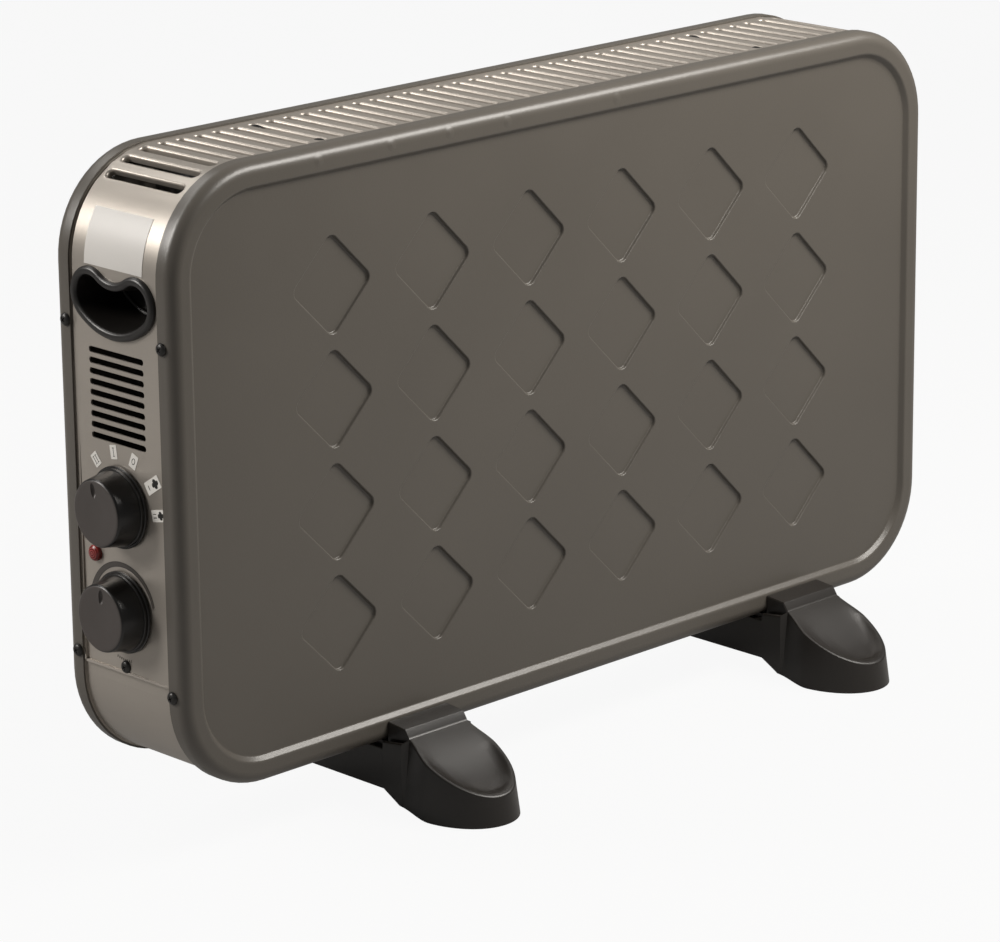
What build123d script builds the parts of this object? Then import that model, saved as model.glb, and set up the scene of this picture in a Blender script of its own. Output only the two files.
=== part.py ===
from math import atan2, cos, degrees, hypot, pi, radians, sin, tan
import os

from build123d import *

# Free-standing convector radiator with a turbo fan. Millimetres, +Z up.
# The front faces -Y and the controls are on the -X side.
# The origin is on the floor, below the middle of the body.

# Body: two pressed pans with a wrapper sheet between them
BODY_W = 600.0
BODY_H = 346.0
BODY_D = 97.5
GROUND_CLEARANCE = 36.5
CORNER_R = 58.0
PAN_T = 1.2
PAN_DEPTH = 12.7
SHOULDER_R = 7.0
BORDER = 13.0
FIELD_DEPTH = 3.0
FIELD_SLOPE = 2.6

# Diamonds pressed into the field of each pan
DIAMOND_COLUMNS = 6
DIAMOND_ROWS = 4
DIAMOND_PITCH_X = 74.7
DIAMOND_PITCH_Z = 63.9
DIAMOND_HALF = 31.7
DIAMOND_CORNER_R = 5.2
DIAMOND_DEPTH = 1.8

# Wrapper sheets
WRAP_T = 1.0
GROOVE_W = 2.0
SEAM_Z = 101.5
LAP = 8.0
SEAM_GAP = 0.4

# Louvre slots over the top and round both upper corners
LOUVRE_COUNT = 44
LOUVRE_PITCH = 12.9
LOUVRE_L = 60.0
LOUVRE_W = 5.2
COLLAR_T = 1.0
COLLAR_DEPTH = 2.6

# Slots in the control side and intake slots in the bottom
SIDE_SLOT_COUNT = 9
SIDE_SLOT_PITCH = 5.93
SIDE_SLOT_L = 45.0
SIDE_SLOT_H = 3.5
SIDE_SLOT_Z = 256.0
INTAKE_COUNT = 33
INTAKE_PITCH = 12.9
INTAKE_L = 56.0
INTAKE_W = 5.2

# Handle cups
CUP_Z = 310.3
CUP_LOBE_R = 15.5
CUP_LOBE_X = 18.7
CUP_BELLY_R = 44.6
CUP_SADDLE_R = 18.0
CUP_RIM_H = 2.8
CUP_RIM_W = 5.0
CUP_WALL = 1.8
CUP_DEPTH = 30.0
CUP_TAPER = 6.0
CUP_GAP = 0.3

# Knobs and their shafts
SELECTOR_Z = 196.0
THERMOSTAT_Z = 137.0
KNOB_BASE_R = 22.8
KNOB_FACE_R = 18.9
KNOB_H = 17.0
KNOB_GAP = 0.7
KNOB_WALL = 2.2
HUB_R = 6.0
SHAFT_R = 3.0
SHAFT_GAP = 0.05
NOTCH_R = 12.6
NOTCH_L = 7.6
NOTCH_W = 3.2
NOTCH_DEPTH = 1.6
SELECTOR_POINTER = -9.0
THERMOSTAT_POINTER = 6.0

KNOB_RING_H = 1.8
KNOB_STEP = 0.9
KNOB_EDGE = 1.6
KNOB_DISH = 0.7
KNOB_HUB_BACK = 1.5
SHAFT_SEAT = 10.0
SHAFT_IN = 8.0
SWITCH_SIZE = (34.0, 30.0, 22.0)
THERMOSTAT_SIZE = (38.0, 34.0, 18.0)
CONTROL_CORNER_R = 3.0
CONTROL_SCREW_Y = 13.0
CONTROL_SCREW_R = 1.5
CONTROL_SCREW_L = 6.0
CONTROL_HEAD_R = 2.8
CONTROL_HEAD_H = 1.6
TERMINAL_PITCH = 12.0
TERMINAL_T = 0.8
TERMINAL_W = 6.3
TERMINAL_L = 8.0

# Dial marks. Angles are from straight up, positive towards the front.
MARK_FIRST = -41.0
MARK_STEP = 32.0
MARK_RADIUS = 30.0
MARK_T = 0.2
MARK_LEVEL_FROM = 80.0
MARK_SIZES = ((5.6, 7.8), (5.4, 7.8), (5.6, 8.4), (9.6, 10.4), (8.6, 6.6))
SCALE_START = 77.0
SCALE_END = -150.0
SCALE_INNER_R = 25.2
SCALE_THIN = 0.7
SCALE_THICK = 4.2

# Indicator, label
LENS_R = 3.7
LENS_LIP = 0.6
LENS_DOME = 3.0
LENS_STEM = 5.0
LENS_PLAY = 0.05
LAMP_L = 16.0
LENS_Y = 22.2
LENS_Z = 165.7
LABEL_W = 47.5
LABEL_START = 2.0
LABEL_ARC = 31.5
LABEL_T = 0.2

# Pan-head screws
HEAD_R = 3.65
HEAD_H = 2.4
SHANK_R = 1.9
SCREW_L = 9.0
FLANGE_SCREW_INSET = 9.3
FLANGE_SCREW_ZS = {-1: (97.5, 290.5), 1: (106.5, 293.0)}
LAP_SCREW_Z = 105.6

# Feet
FOOT_XS = (-130.0, 184.0)
FOOT_W = 54.0
FOOT_REACH = 118.0
FOOT_TOE_LEN = 36.0
FOOT_TOE_H = 16.5
FOOT_PAD_END = 62.0
FOOT_ARCH_Y = 49.0
FOOT_ARCH_H = 10.0
FOOT_RIM = 2.2
FOOT_DISH = 1.5
FOOT_WALL = 3.0
CLAMP_W = 46.0
CLAMP_DEPTH = 14.0
CLAMP_TOP = 12.0
CLAMP_FALL = 1.5
CLAMP_STRIP = 5.6
CLAMP_TAIL = 4.0
FOOT_SCREW_Y = 16.0
FOOT_STEP = 2.5
FOOT_EAR = 3.0
FOOT_BOSS_R = 7.0
FOOT_ROOF_Z = 29.0
FOOT_SCREW_END = 4.0
TONGUE_SAG = 1.0

# Inside the body
SHEET_T = 0.8
PARTITION_X = -236.0
BRACKET_XS = (-204.0, 226.0)
BRACKET_W = 76.0
BRACKET_H = 150.0
FLANGE_L = 12.0
SHEET_SCREW_Y = 24.0
ELEMENT_ZS = (116.0, 158.0)
ELEMENT_L = 412.0
ELEMENT_W = 62.0
ELEMENT_H = 24.0
FIN_T = 1.6
CORE_R = 7.0
BUSH_GROOVE = 2.0
BUSH_LIP = 3.0
PARTITION_TOP = 366.0
WIRE_PORT_R = 7.0
SHEET_SCREW_END = 3.0
HANGER_SCREW_Y = 25.4
HANGER_SCREW_R = 1.6
CUTOUT_Z = 182.0
CUTOUT_R = 6.0
CUTOUT_H = 5.0
BLOCK_Y = 0.0
BLOCK_W = 30.0
BLOCK_H = 14.0
BLOCK_D = 12.0
BLOCK_PORT_R = 2.6
ROD_R = 4.0
ROD_OVERHANG = 16.0
PIN_R = 1.5
PIN_L = 8.0
BUSH_R = 8.0
SHIELD_T = 0.6
SHIELD_Z0 = 66.0
SHIELD_Z1 = 345.0
HANGER_SLOT = 8
HANGER_W = 12.0
HANGER_LEG = 52.0

# Fan
FAN_X = 27.0
SHROUD_Z = 52.0
SHROUD_L = 100.0
SHROUD_W = 76.0
FAN_R = 33.0
FAN_GAP = 2.0
FAN_HUB_R = 8.0
FAN_H = 14.0
BLADE_COUNT = 5
BLADE_T = 1.2
YOKE_Z = 74.0
YOKE_W = 14.0
STATOR_L = 50.0
STATOR_W = 46.0
STATOR_H = 12.0
ROTOR_R = 11.0
AIR_GAP = 0.3
FAN_SHAFT_R = 2.0
YOKE_T = 1.5
YOKE_SIDE_GAP = 2.0
COIL_Y = 15.5
COIL_WINDOW = 6.0
LIMB_W = 4.5
COIL_T = 4.0
COIL_L = 30.0
BRIDGE_T = 2.0
END_FLOAT = 0.3
SHAFT_TIP = 1.0
BLADE_PITCH = 32.0
BLADE_W = 15.0

# Cord inlet in the rear panel
CORD_X = -262.0
CORD_Z = 76.0
CORD_HOLE_R = 3.9
GROMMET_R = 9.0
GROMMET_NECK_R = 6.5
GROMMET_LIP = 2.0

WIRE_R = 1.1
WIRE_BEND_R = 12.0
MOTOR_WIRE_Y = 20.75
MOTOR_WIRE_Z = 56.0
SMALL_PORT_R = 4.0

# Sizes that follow from the ones above
BODY_Z = GROUND_CLEARANCE + BODY_H / 2
BODY_TOP = GROUND_CLEARANCE + BODY_H
HALF_W = BODY_W / 2
HALF_D = BODY_D / 2
WRAP_IN = PAN_T
WRAP_EDGE_Y = HALF_D - SHOULDER_R
BAND_Y = HALF_D - PAN_DEPTH
SIDE_X = HALF_W - WRAP_IN
SIDE_IN_X = SIDE_X - WRAP_T
FLOOR_IN_Z = GROUND_CLEARANCE + WRAP_IN + 2 * WRAP_T
LOWER_OUT_Z = FLOOR_IN_Z - WRAP_T
TOP_OUT_Z = BODY_TOP - WRAP_IN
COLLAR_Z = TOP_OUT_Z - WRAP_T / 2 - COLLAR_DEPTH
FLANGE_SCREW_Y = HALF_D - FLANGE_SCREW_INSET
os.makedirs("parts", exist_ok=True)


def save(part, name):
    """Label one finished piece and write its STEP file."""
    part.label = name
    export_step(part, f"parts/{name}.step")


def front_plane(y):
    """A plane across the body's depth at y, seen from the front."""
    return Plane(origin=(0, y, BODY_Z), x_dir=(1, 0, 0), z_dir=(0, -1, 0))


def rear_plane(y):
    """The same plane, seen from the rear."""
    return Plane(origin=(0, y, BODY_Z), x_dir=(-1, 0, 0), z_dir=(0, 1, 0))


def side_plane(side, x, z=0.0, y=0.0):
    """A plane at distance x from the middle on the left (-1) or right (+1) side, seen from outside."""
    return Plane(origin=(side * x, y, z), x_dir=(0, side, 0), z_dir=(side, 0, 0))


def outline(inset, mode=Mode.ADD):
    """The body's rounded outline, shrunk by inset, in the sketch that is open."""
    RectangleRounded(BODY_W - 2 * inset, BODY_H - 2 * inset, CORNER_R - inset, mode=mode)


def ring(y0, y1, outer, inner, mode=Mode.ADD):
    """A band of sheet round the body from y0 to y1, between two insets, in the part that is open."""
    with BuildSketch(front_plane(y0)) as band:
        outline(outer)
        outline(inner, Mode.SUBTRACT)
    extrude(band.sketch, amount=y0 - y1, mode=mode)


def pressed_form(face, skin):
    """The pan's outer form, or with skin the space inside a sheet of that thickness."""
    with BuildPart() as form:
        with BuildSketch(face.offset(-skin)):
            outline(skin)
        extrude(amount=skin - PAN_DEPTH)
        rim = form.faces().sort_by(Axis(face.origin, face.z_dir))[-1]
        fillet(rim.edges(), SHOULDER_R - skin)
        floor = face.offset(-skin - FIELD_DEPTH)
        with BuildSketch(face.offset(-skin)):
            outline(BORDER - skin)
        with BuildSketch(floor):
            outline(BORDER - skin + FIELD_SLOPE)
        loft(mode=Mode.SUBTRACT)
        with BuildSketch(floor) as diamonds:
            half = DIAMOND_HALF + skin * 2**0.5
            with GridLocations(DIAMOND_PITCH_X, DIAMOND_PITCH_Z, DIAMOND_COLUMNS, DIAMOND_ROWS):
                Polygon((half, 0), (0, half), (-half, 0), (0, -half))
            fillet(diamonds.vertices(), DIAMOND_CORNER_R + skin)
        extrude(amount=-DIAMOND_DEPTH, mode=Mode.SUBTRACT)
    return form.part


def screw_holes(planes, radius=SHANK_R + 0.1, depth=4.0):
    """Round holes through the sheet at each plane's origin."""
    with BuildSketch(*planes) as holes:
        Circle(radius)
    extrude(holes.sketch, amount=depth, both=True, mode=Mode.SUBTRACT)


def pan_head(plane, length=SCREW_L, head_r=HEAD_R, head_h=HEAD_H, shank_r=SHANK_R):
    """One cross-recessed pan-head screw: the head stands on the plane and the shank goes back from it."""
    with BuildPart() as screw:
        with BuildSketch(plane):
            Circle(head_r)
        extrude(amount=head_h)
        top = screw.faces().sort_by(Axis(plane.origin, plane.z_dir))[-1]
        fillet(top.edges(), head_h * 0.7)
        with BuildSketch(plane.offset(head_h)):
            Rectangle(head_r, head_r * 0.2)
            Rectangle(head_r * 0.2, head_r)
        extrude(amount=-head_h * 0.55, mode=Mode.SUBTRACT)
        with BuildSketch(plane):
            Circle(shank_r)
        extrude(amount=-length)
    return screw.part


def screw_set(planes, **sizes):
    """Several like screws, which stay separate solids in one piece."""
    return Compound(children=[pan_head(plane, **sizes) for plane in planes])


def shift(y):
    """The plane across the width at y, with +Z as its own y axis."""
    return Plane(origin=(0, y, 0), x_dir=(1, 0, 0), z_dir=(0, -1, 0))


def section_plane(x):
    """The plane across the depth at x, with +Y and +Z as its axes."""
    return Plane(origin=(x, 0, 0), x_dir=(0, 1, 0), z_dir=(1, 0, 0))


def wrap_plane(s, inset):
    """The plane that lies on the body's outline at arc length s from the top middle, shrunk by inset."""
    radius = CORNER_R - WRAP_IN
    flat = HALF_W - CORNER_R
    beyond = max(abs(s) - flat, 0.0)
    angle = beyond / radius
    side = 1 if s > 0 else -1
    reach = CORNER_R - inset
    x = min(abs(s), flat) + reach * sin(angle)
    z = BODY_TOP - CORNER_R + reach * cos(angle)
    normal = (side * sin(angle), 0, cos(angle))
    return Plane(origin=(side * x, 0, z), x_dir=(0, 1, 0), z_dir=normal)


def kidney(offset):
    """The closed outline of a handle cup, grown by offset, in the sketch that is open."""
    lobe = CUP_LOBE_R + offset
    belly = CUP_BELLY_R + offset
    saddle = CUP_SADDLE_R - offset
    belly_z = -((CUP_BELLY_R - CUP_LOBE_R) ** 2 - CUP_LOBE_X**2) ** 0.5
    saddle_z = ((CUP_SADDLE_R + CUP_LOBE_R) ** 2 - CUP_LOBE_X**2) ** 0.5
    down = atan2(belly_z, CUP_LOBE_X)
    up = atan2(saddle_z, -CUP_LOBE_X)
    low = (CUP_LOBE_X + lobe * cos(down), lobe * sin(down))
    high = (CUP_LOBE_X + lobe * cos(up), lobe * sin(up))
    middle = (down + up) / 2
    far = (CUP_LOBE_X + lobe * cos(middle), lobe * sin(middle))
    with BuildLine() as edge:
        ThreePointArc((-low[0], low[1]), (0, -belly_z - belly), low)
        ThreePointArc(low, far, high)
        ThreePointArc(high, (0, saddle_z - saddle), (-high[0], high[1]))
        ThreePointArc((-high[0], high[1]), (-far[0], far[1]), (-low[0], low[1]))
    make_face(edge.edges())


# Pans
front_face = front_plane(-HALF_D)
rear_face = rear_plane(HALF_D)
flange_screws = {
    end: [side_plane(side, HALF_W, z, end * FLANGE_SCREW_Y) for side in (-1, 1) for z in FLANGE_SCREW_ZS[end]]
    for end in (-1, 1)
}
grommet_plane = Plane(origin=(CORD_X, HALF_D - FIELD_DEPTH, CORD_Z), x_dir=(-1, 0, 0), z_dir=(0, 1, 0))

front_outer = pressed_form(front_face, 0.0)
front_inner = pressed_form(front_face, PAN_T)
with BuildPart() as front_panel:
    add(front_outer)
    add(front_inner, mode=Mode.SUBTRACT)
    screw_holes(flange_screws[-1])
save(front_panel.part, "front_panel")

rear_outer = pressed_form(rear_face, 0.0)
rear_inner = pressed_form(rear_face, PAN_T)
with BuildPart() as rear_panel:
    add(rear_outer)
    add(rear_inner, mode=Mode.SUBTRACT)
    screw_holes(flange_screws[1])
    screw_holes([grommet_plane], GROMMET_NECK_R + 0.1)
save(rear_panel.part, "rear_panel")

# Wrapper sheets, with a pressed groove beside the rear pan
louvre_reach = (LOUVRE_COUNT - 1) / 2 * LOUVRE_PITCH
louvre_places = [i * LOUVRE_PITCH - louvre_reach for i in range(LOUVRE_COUNT)]
lap_screws = [side_plane(side, SIDE_X, LAP_SCREW_Z) for side in (-1, 1)]
handle_planes = [side_plane(side, SIDE_X, CUP_Z) for side in (-1, 1)]
knob_zs = (SELECTOR_Z, THERMOSTAT_Z)
control_screws = [side_plane(-1, SIDE_X, z, y) for z in knob_zs for y in (-CONTROL_SCREW_Y, CONTROL_SCREW_Y)]

with BuildPart() as upper_wrapper:
    ring(-WRAP_EDGE_Y, WRAP_EDGE_Y, WRAP_IN, WRAP_IN + WRAP_T)
    ring(BAND_Y - GROOVE_W - WRAP_T, BAND_Y + WRAP_T, WRAP_IN, WRAP_IN + 2 * WRAP_T)
    ring(BAND_Y - GROOVE_W, BAND_Y, -WRAP_T, WRAP_IN + WRAP_T, mode=Mode.SUBTRACT)
    with BuildSketch(Plane.XY.offset(SEAM_Z)):
        Rectangle(2 * BODY_W, 2 * BODY_D)
    extrude(amount=-BODY_H, mode=Mode.SUBTRACT)
    with BuildSketch(*[wrap_plane(s, WRAP_IN + WRAP_T / 2) for s in louvre_places]):
        SlotOverall(LOUVRE_L + 2 * COLLAR_T, LOUVRE_W + 2 * COLLAR_T)
    extrude(amount=-COLLAR_DEPTH)
    with BuildSketch(*[wrap_plane(s, -WRAP_T) for s in louvre_places]):
        SlotOverall(LOUVRE_L, LOUVRE_W)
    extrude(amount=-2 * COLLAR_DEPTH - 2 * WRAP_T, mode=Mode.SUBTRACT)
    with BuildSketch(side_plane(-1, SIDE_X, SIDE_SLOT_Z)):
        with GridLocations(0, SIDE_SLOT_PITCH, 1, SIDE_SLOT_COUNT):
            SlotOverall(SIDE_SLOT_L, SIDE_SLOT_H)
    extrude(amount=3 * WRAP_T, both=True, mode=Mode.SUBTRACT)
    with BuildSketch(*handle_planes):
        kidney(CUP_GAP - CUP_RIM_W + CUP_WALL)
    extrude(amount=3 * WRAP_T, both=True, mode=Mode.SUBTRACT)
    screw_holes([side_plane(-1, SIDE_X, z) for z in knob_zs], SHAFT_R + 1.0)
    screw_holes(control_screws, CONTROL_SCREW_R + 0.1)
    screw_holes([side_plane(-1, SIDE_X, LENS_Z, LENS_Y)], LENS_R - LENS_LIP)
    screw_holes(lap_screws)
    screw_holes(flange_screws[-1] + flange_screws[1])
save(upper_wrapper.part, "upper_wrapper")

bottom_screws = [Plane(origin=(x, y, LOWER_OUT_Z), z_dir=(0, 0, -1)) for x, y in (
    *[(x, y) for x in FOOT_XS for y in (-FOOT_SCREW_Y, FOOT_SCREW_Y)],
    *[(x + FLANGE_L / 2, y) for x in (PARTITION_X, *BRACKET_XS) for y in (-SHEET_SCREW_Y, SHEET_SCREW_Y)],
)]
intake_reach = (INTAKE_COUNT - 1) / 2 * INTAKE_PITCH
intake_xs = [
    x for x in (i * INTAKE_PITCH - intake_reach for i in range(INTAKE_COUNT))
    if all(abs(x - foot) > FOOT_W / 2 + INTAKE_W for foot in FOOT_XS)
    and all(abs(x - FLANGE_L / 2 - seat) > FLANGE_L / 2 + INTAKE_W for seat in (PARTITION_X, *BRACKET_XS))
    and abs(abs(x - FAN_X) - SHROUD_L / 2) > INTAKE_W / 2 + SHEET_T
]
with BuildPart() as lower_wrapper:
    for side in (-1, 1):
        near = min(side * (BAND_Y + WRAP_T), side * WRAP_EDGE_Y)
        far = max(side * (BAND_Y + WRAP_T), side * WRAP_EDGE_Y)
        ring(near, far, WRAP_IN, WRAP_IN + WRAP_T)
        step = min(side * (BAND_Y + WRAP_T), side * BAND_Y)
        ring(step, step + WRAP_T, WRAP_IN, WRAP_IN + 2 * WRAP_T)
    ring(-BAND_Y, BAND_Y, WRAP_IN + WRAP_T, WRAP_IN + 2 * WRAP_T)
    with BuildSketch(Plane.XY.offset(SEAM_Z - SEAM_GAP)):
        Rectangle(2 * BODY_W, 2 * BODY_D)
    extrude(amount=BODY_H, mode=Mode.SUBTRACT)
    with BuildSketch(Plane.XY.offset(SEAM_Z - 2 * SEAM_GAP)):
        with GridLocations(2 * SIDE_IN_X - WRAP_T, 0, 2, 1):
            Rectangle(WRAP_T, 2 * (BAND_Y - GROOVE_W - 2 * WRAP_T))
    extrude(amount=LAP + 2 * SEAM_GAP)
    with BuildSketch(Plane.XY.offset(LOWER_OUT_Z)):
        with Locations(*[(x, 0) for x in intake_xs]):
            SlotOverall(INTAKE_L, INTAKE_W, rotation=90)
    extrude(amount=2 * WRAP_T, both=True, mode=Mode.SUBTRACT)
    screw_holes(lap_screws)
    screw_holes(flange_screws[-1] + flange_screws[1])
    screw_holes(bottom_screws)
save(lower_wrapper.part, "lower_wrapper")

save(screw_set(flange_screws[-1]), "front_flange_screws")
save(screw_set(flange_screws[1]), "rear_flange_screws")
save(screw_set(lap_screws), "lap_screws")

# Handle cups
for side, name in ((-1, "left_handle_cup"), (1, "right_handle_cup")):
    mouth = side_plane(side, SIDE_X, CUP_Z)
    with BuildPart() as cup:
        with BuildSketch(mouth):
            kidney(0)
        extrude(amount=CUP_RIM_H)
        lip = cup.faces().sort_by(Axis.X)[-1 if side > 0 else 0]
        fillet(lip.edges(), CUP_RIM_H * 0.6)
        with BuildSketch(mouth):
            kidney(CUP_WALL - CUP_RIM_W)
        extrude(amount=-CUP_DEPTH, taper=CUP_TAPER)
        with BuildSketch(mouth.offset(CUP_RIM_H)):
            kidney(-CUP_RIM_W)
        extrude(amount=-CUP_DEPTH - CUP_RIM_H + CUP_WALL, taper=CUP_TAPER, mode=Mode.SUBTRACT)
    save(cup.part, name)

# Knobs, shafts and what they turn
KNOBS = (
    ("selector", SELECTOR_Z, SELECTOR_POINTER, SWITCH_SIZE),
    ("thermostat", THERMOSTAT_Z, THERMOSTAT_POINTER, THERMOSTAT_SIZE),
)
for name, z, pointer, (body_w, body_h, body_d) in KNOBS:
    # Looking at the control side, x runs out from the sheet and y is the radius
    turn = Plane(origin=(-SIDE_X - KNOB_GAP, 0, z), x_dir=(-1, 0, 0), z_dir=(0, 1, 0))
    face = side_plane(-1, SIDE_X + KNOB_GAP + KNOB_H, z)
    axis = Axis((0, 0, z), (1, 0, 0))
    with BuildPart() as knob:
        with BuildSketch(turn):
            with BuildLine():
                Polyline(
                    (0, KNOB_BASE_R - KNOB_WALL), (0, KNOB_BASE_R), (KNOB_RING_H, KNOB_BASE_R),
                    (KNOB_RING_H, KNOB_BASE_R - KNOB_STEP), (2 * KNOB_RING_H, KNOB_BASE_R - KNOB_STEP),
                    (2 * KNOB_RING_H, KNOB_BASE_R - 2 * KNOB_STEP), (KNOB_H - KNOB_EDGE, KNOB_FACE_R),
                )
                ThreePointArc(
                    (KNOB_H - KNOB_EDGE, KNOB_FACE_R),
                    (KNOB_H - 0.3 * KNOB_EDGE, KNOB_FACE_R - 0.3 * KNOB_EDGE),
                    (KNOB_H, KNOB_FACE_R - KNOB_EDGE),
                )
                Polyline(
                    (KNOB_H, KNOB_FACE_R - KNOB_EDGE), (KNOB_H - KNOB_DISH, 0), (KNOB_HUB_BACK, 0),
                    (KNOB_HUB_BACK, HUB_R), (KNOB_H - KNOB_DISH - KNOB_WALL, HUB_R),
                    (KNOB_H - KNOB_DISH - KNOB_WALL, KNOB_FACE_R - KNOB_WALL),
                    (0, KNOB_BASE_R - 2 * KNOB_STEP - KNOB_WALL), (0, KNOB_BASE_R - KNOB_WALL),
                )
            make_face()
        revolve(axis=axis)
        with BuildSketch(face):
            with Locations((NOTCH_R * sin(radians(pointer)), NOTCH_R * cos(radians(pointer)))):
                Ellipse(NOTCH_W / 2, NOTCH_L / 2, rotation=-pointer)
        extrude(amount=-KNOB_DISH - NOTCH_DEPTH, mode=Mode.SUBTRACT)
        with BuildSketch(side_plane(-1, SIDE_X + KNOB_GAP + KNOB_HUB_BACK, z)):
            Circle(SHAFT_R + SHAFT_GAP)
        extrude(amount=SHAFT_SEAT, mode=Mode.SUBTRACT)
    save(knob.part, f"{name}_knob")

    with BuildPart() as shaft:
        with BuildSketch(side_plane(-1, SIDE_IN_X - SHAFT_IN, z)):
            Circle(SHAFT_R)
        extrude(amount=SHAFT_IN + WRAP_T + KNOB_GAP + KNOB_HUB_BACK + SHAFT_SEAT)
    save(shaft.part, f"{name}_shaft")

    with BuildPart() as switch:
        with BuildSketch(side_plane(-1, SIDE_IN_X, z)):
            RectangleRounded(body_w, body_h, CONTROL_CORNER_R)
        extrude(amount=-body_d)
        with BuildSketch(side_plane(-1, SIDE_IN_X - body_d, z)):
            with GridLocations(TERMINAL_PITCH, TERMINAL_PITCH, 2, 2):
                Rectangle(TERMINAL_T, TERMINAL_W)
        extrude(amount=-TERMINAL_L)
        with BuildSketch(side_plane(-1, SIDE_IN_X, z)):
            Circle(SHAFT_R + SHAFT_GAP)
        extrude(amount=-SHAFT_IN - SHAFT_GAP, mode=Mode.SUBTRACT)
        screw_holes(control_screws, CONTROL_SCREW_R + 0.05, CONTROL_SCREW_L + WRAP_T)
    save(switch.part, f"{name}_body")
save(
    screw_set(control_screws, length=CONTROL_SCREW_L, head_r=CONTROL_HEAD_R, head_h=CONTROL_HEAD_H,
              shank_r=CONTROL_SCREW_R),
    "control_screws",
)

# Dial marks and the crescent scale
mark_angles = [MARK_FIRST + i * MARK_STEP for i in range(len(MARK_SIZES))]
with BuildPart() as dial_marks:
    for angle, (width, height) in zip(mark_angles, MARK_SIZES):
        with BuildSketch(side_plane(-1, SIDE_X, SELECTOR_Z)):
            with Locations((MARK_RADIUS * sin(radians(angle)), MARK_RADIUS * cos(radians(angle)))):
                Rectangle(width, height, rotation=-angle if angle < MARK_LEVEL_FROM else 0)
        extrude(amount=MARK_T)
save(dial_marks.part, "dial_marks")

with BuildPart() as thermostat_scale:
    with BuildSketch(side_plane(-1, SIDE_X, THERMOSTAT_Z)):
        with BuildLine():
            span = [SCALE_START + (SCALE_END - SCALE_START) * i / 4 for i in range(5)]
            inner = [(SCALE_INNER_R * sin(radians(a)), SCALE_INNER_R * cos(radians(a))) for a in span]
            outer_r = [SCALE_INNER_R + SCALE_THIN + (SCALE_THICK - SCALE_THIN) * i / 4 for i in range(5)]
            outer = [(r * sin(radians(a)), r * cos(radians(a))) for r, a in zip(outer_r, span)]
            ThreePointArc(inner[0], inner[2], inner[4])
            Line(inner[4], outer[4])
            Spline(*reversed(outer))
            Line(outer[0], inner[0])
        make_face()
    extrude(amount=MARK_T)
save(thermostat_scale.part, "thermostat_scale")

# Indicator lens and the lamp behind it
with BuildPart() as indicator_lens:
    with BuildSketch(side_plane(-1, SIDE_X, LENS_Z, LENS_Y)):
        Circle(LENS_R)
    extrude(amount=LENS_DOME)
    crown = indicator_lens.faces().sort_by(Axis.X)[0]
    fillet(crown.edges(), LENS_DOME * 0.8)
    with BuildSketch(side_plane(-1, SIDE_X, LENS_Z, LENS_Y)):
        Circle(LENS_R - LENS_LIP - LENS_PLAY)
    extrude(amount=-LENS_STEM)
save(indicator_lens.part, "indicator_lens")

with BuildPart() as indicator_lamp:
    with BuildSketch(side_plane(-1, SIDE_X - LENS_STEM, LENS_Z, LENS_Y)):
        Circle(LENS_R)
    extrude(amount=-LAMP_L)
save(indicator_lamp.part, "indicator_lamp")

# Blank label, bent round the left upper corner
with BuildPart() as corner_label:
    label_r = CORNER_R - WRAP_IN
    corner = (-HALF_W + CORNER_R, BODY_TOP - CORNER_R)
    with BuildSketch(shift(-LABEL_W / 2)):
        with BuildLine():
            edges = []
            for radius in (label_r, label_r + LABEL_T):
                edges.append([
                    (corner[0] - radius * cos(turn_by), corner[1] + radius * sin(turn_by))
                    for turn_by in [(LABEL_START + LABEL_ARC * k / 2) / label_r for k in range(3)]
                ])
            ThreePointArc(*edges[0])
            Line(edges[0][2], edges[1][2])
            ThreePointArc(*reversed(edges[1]))
            Line(edges[1][0], edges[0][0])
        make_face()
    extrude(amount=-LABEL_W)
save(corner_label.part, "corner_label")


# Feet: the pans stand in a saddle between two clamp blocks, and a dished tongue runs down to each toe
tongue_y = HALF_D + CLAMP_DEPTH
strip_top = GROUND_CLEARANCE + CLAMP_TOP - CLAMP_FALL
strip_low = strip_top - CLAMP_STRIP


def tongue_cut(x):
    """What is cut from a foot's two tongues: the dish inside the raised rim."""
    with BuildPart() as dish:
        with BuildSketch(section_plane(x - FOOT_W / 2 + FOOT_RIM)):
            for end in (-1, 1):
                low = (end * (tongue_y + CLAMP_TAIL), strip_low - FOOT_DISH)
                tip = (end * FOOT_REACH, FOOT_TOE_H - FOOT_DISH)
                middle_y = end * (FOOT_REACH + tongue_y) / 2
                middle = (middle_y, (FOOT_TOE_H + strip_low) / 2 - TONGUE_SAG - FOOT_DISH)
                with BuildLine():
                    ThreePointArc(low, middle, tip)
                    Polyline(tip, (tip[0], BODY_Z), (low[0], BODY_Z), low)
                make_face()
        extrude(amount=FOOT_W - 2 * FOOT_RIM)
        with BuildSketch(Plane(origin=(x, 0, 0))):
            Rectangle(FOOT_W - 2 * FOOT_RIM, 2 * (FOOT_REACH - FOOT_TOE_LEN))
            with Locations((0, FOOT_REACH - FOOT_TOE_LEN), (0, FOOT_TOE_LEN - FOOT_REACH)):
                Ellipse(FOOT_W / 2 - FOOT_RIM, FOOT_TOE_LEN - FOOT_RIM)
        extrude(amount=BODY_Z, mode=Mode.INTERSECT)
    return dish.part


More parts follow.
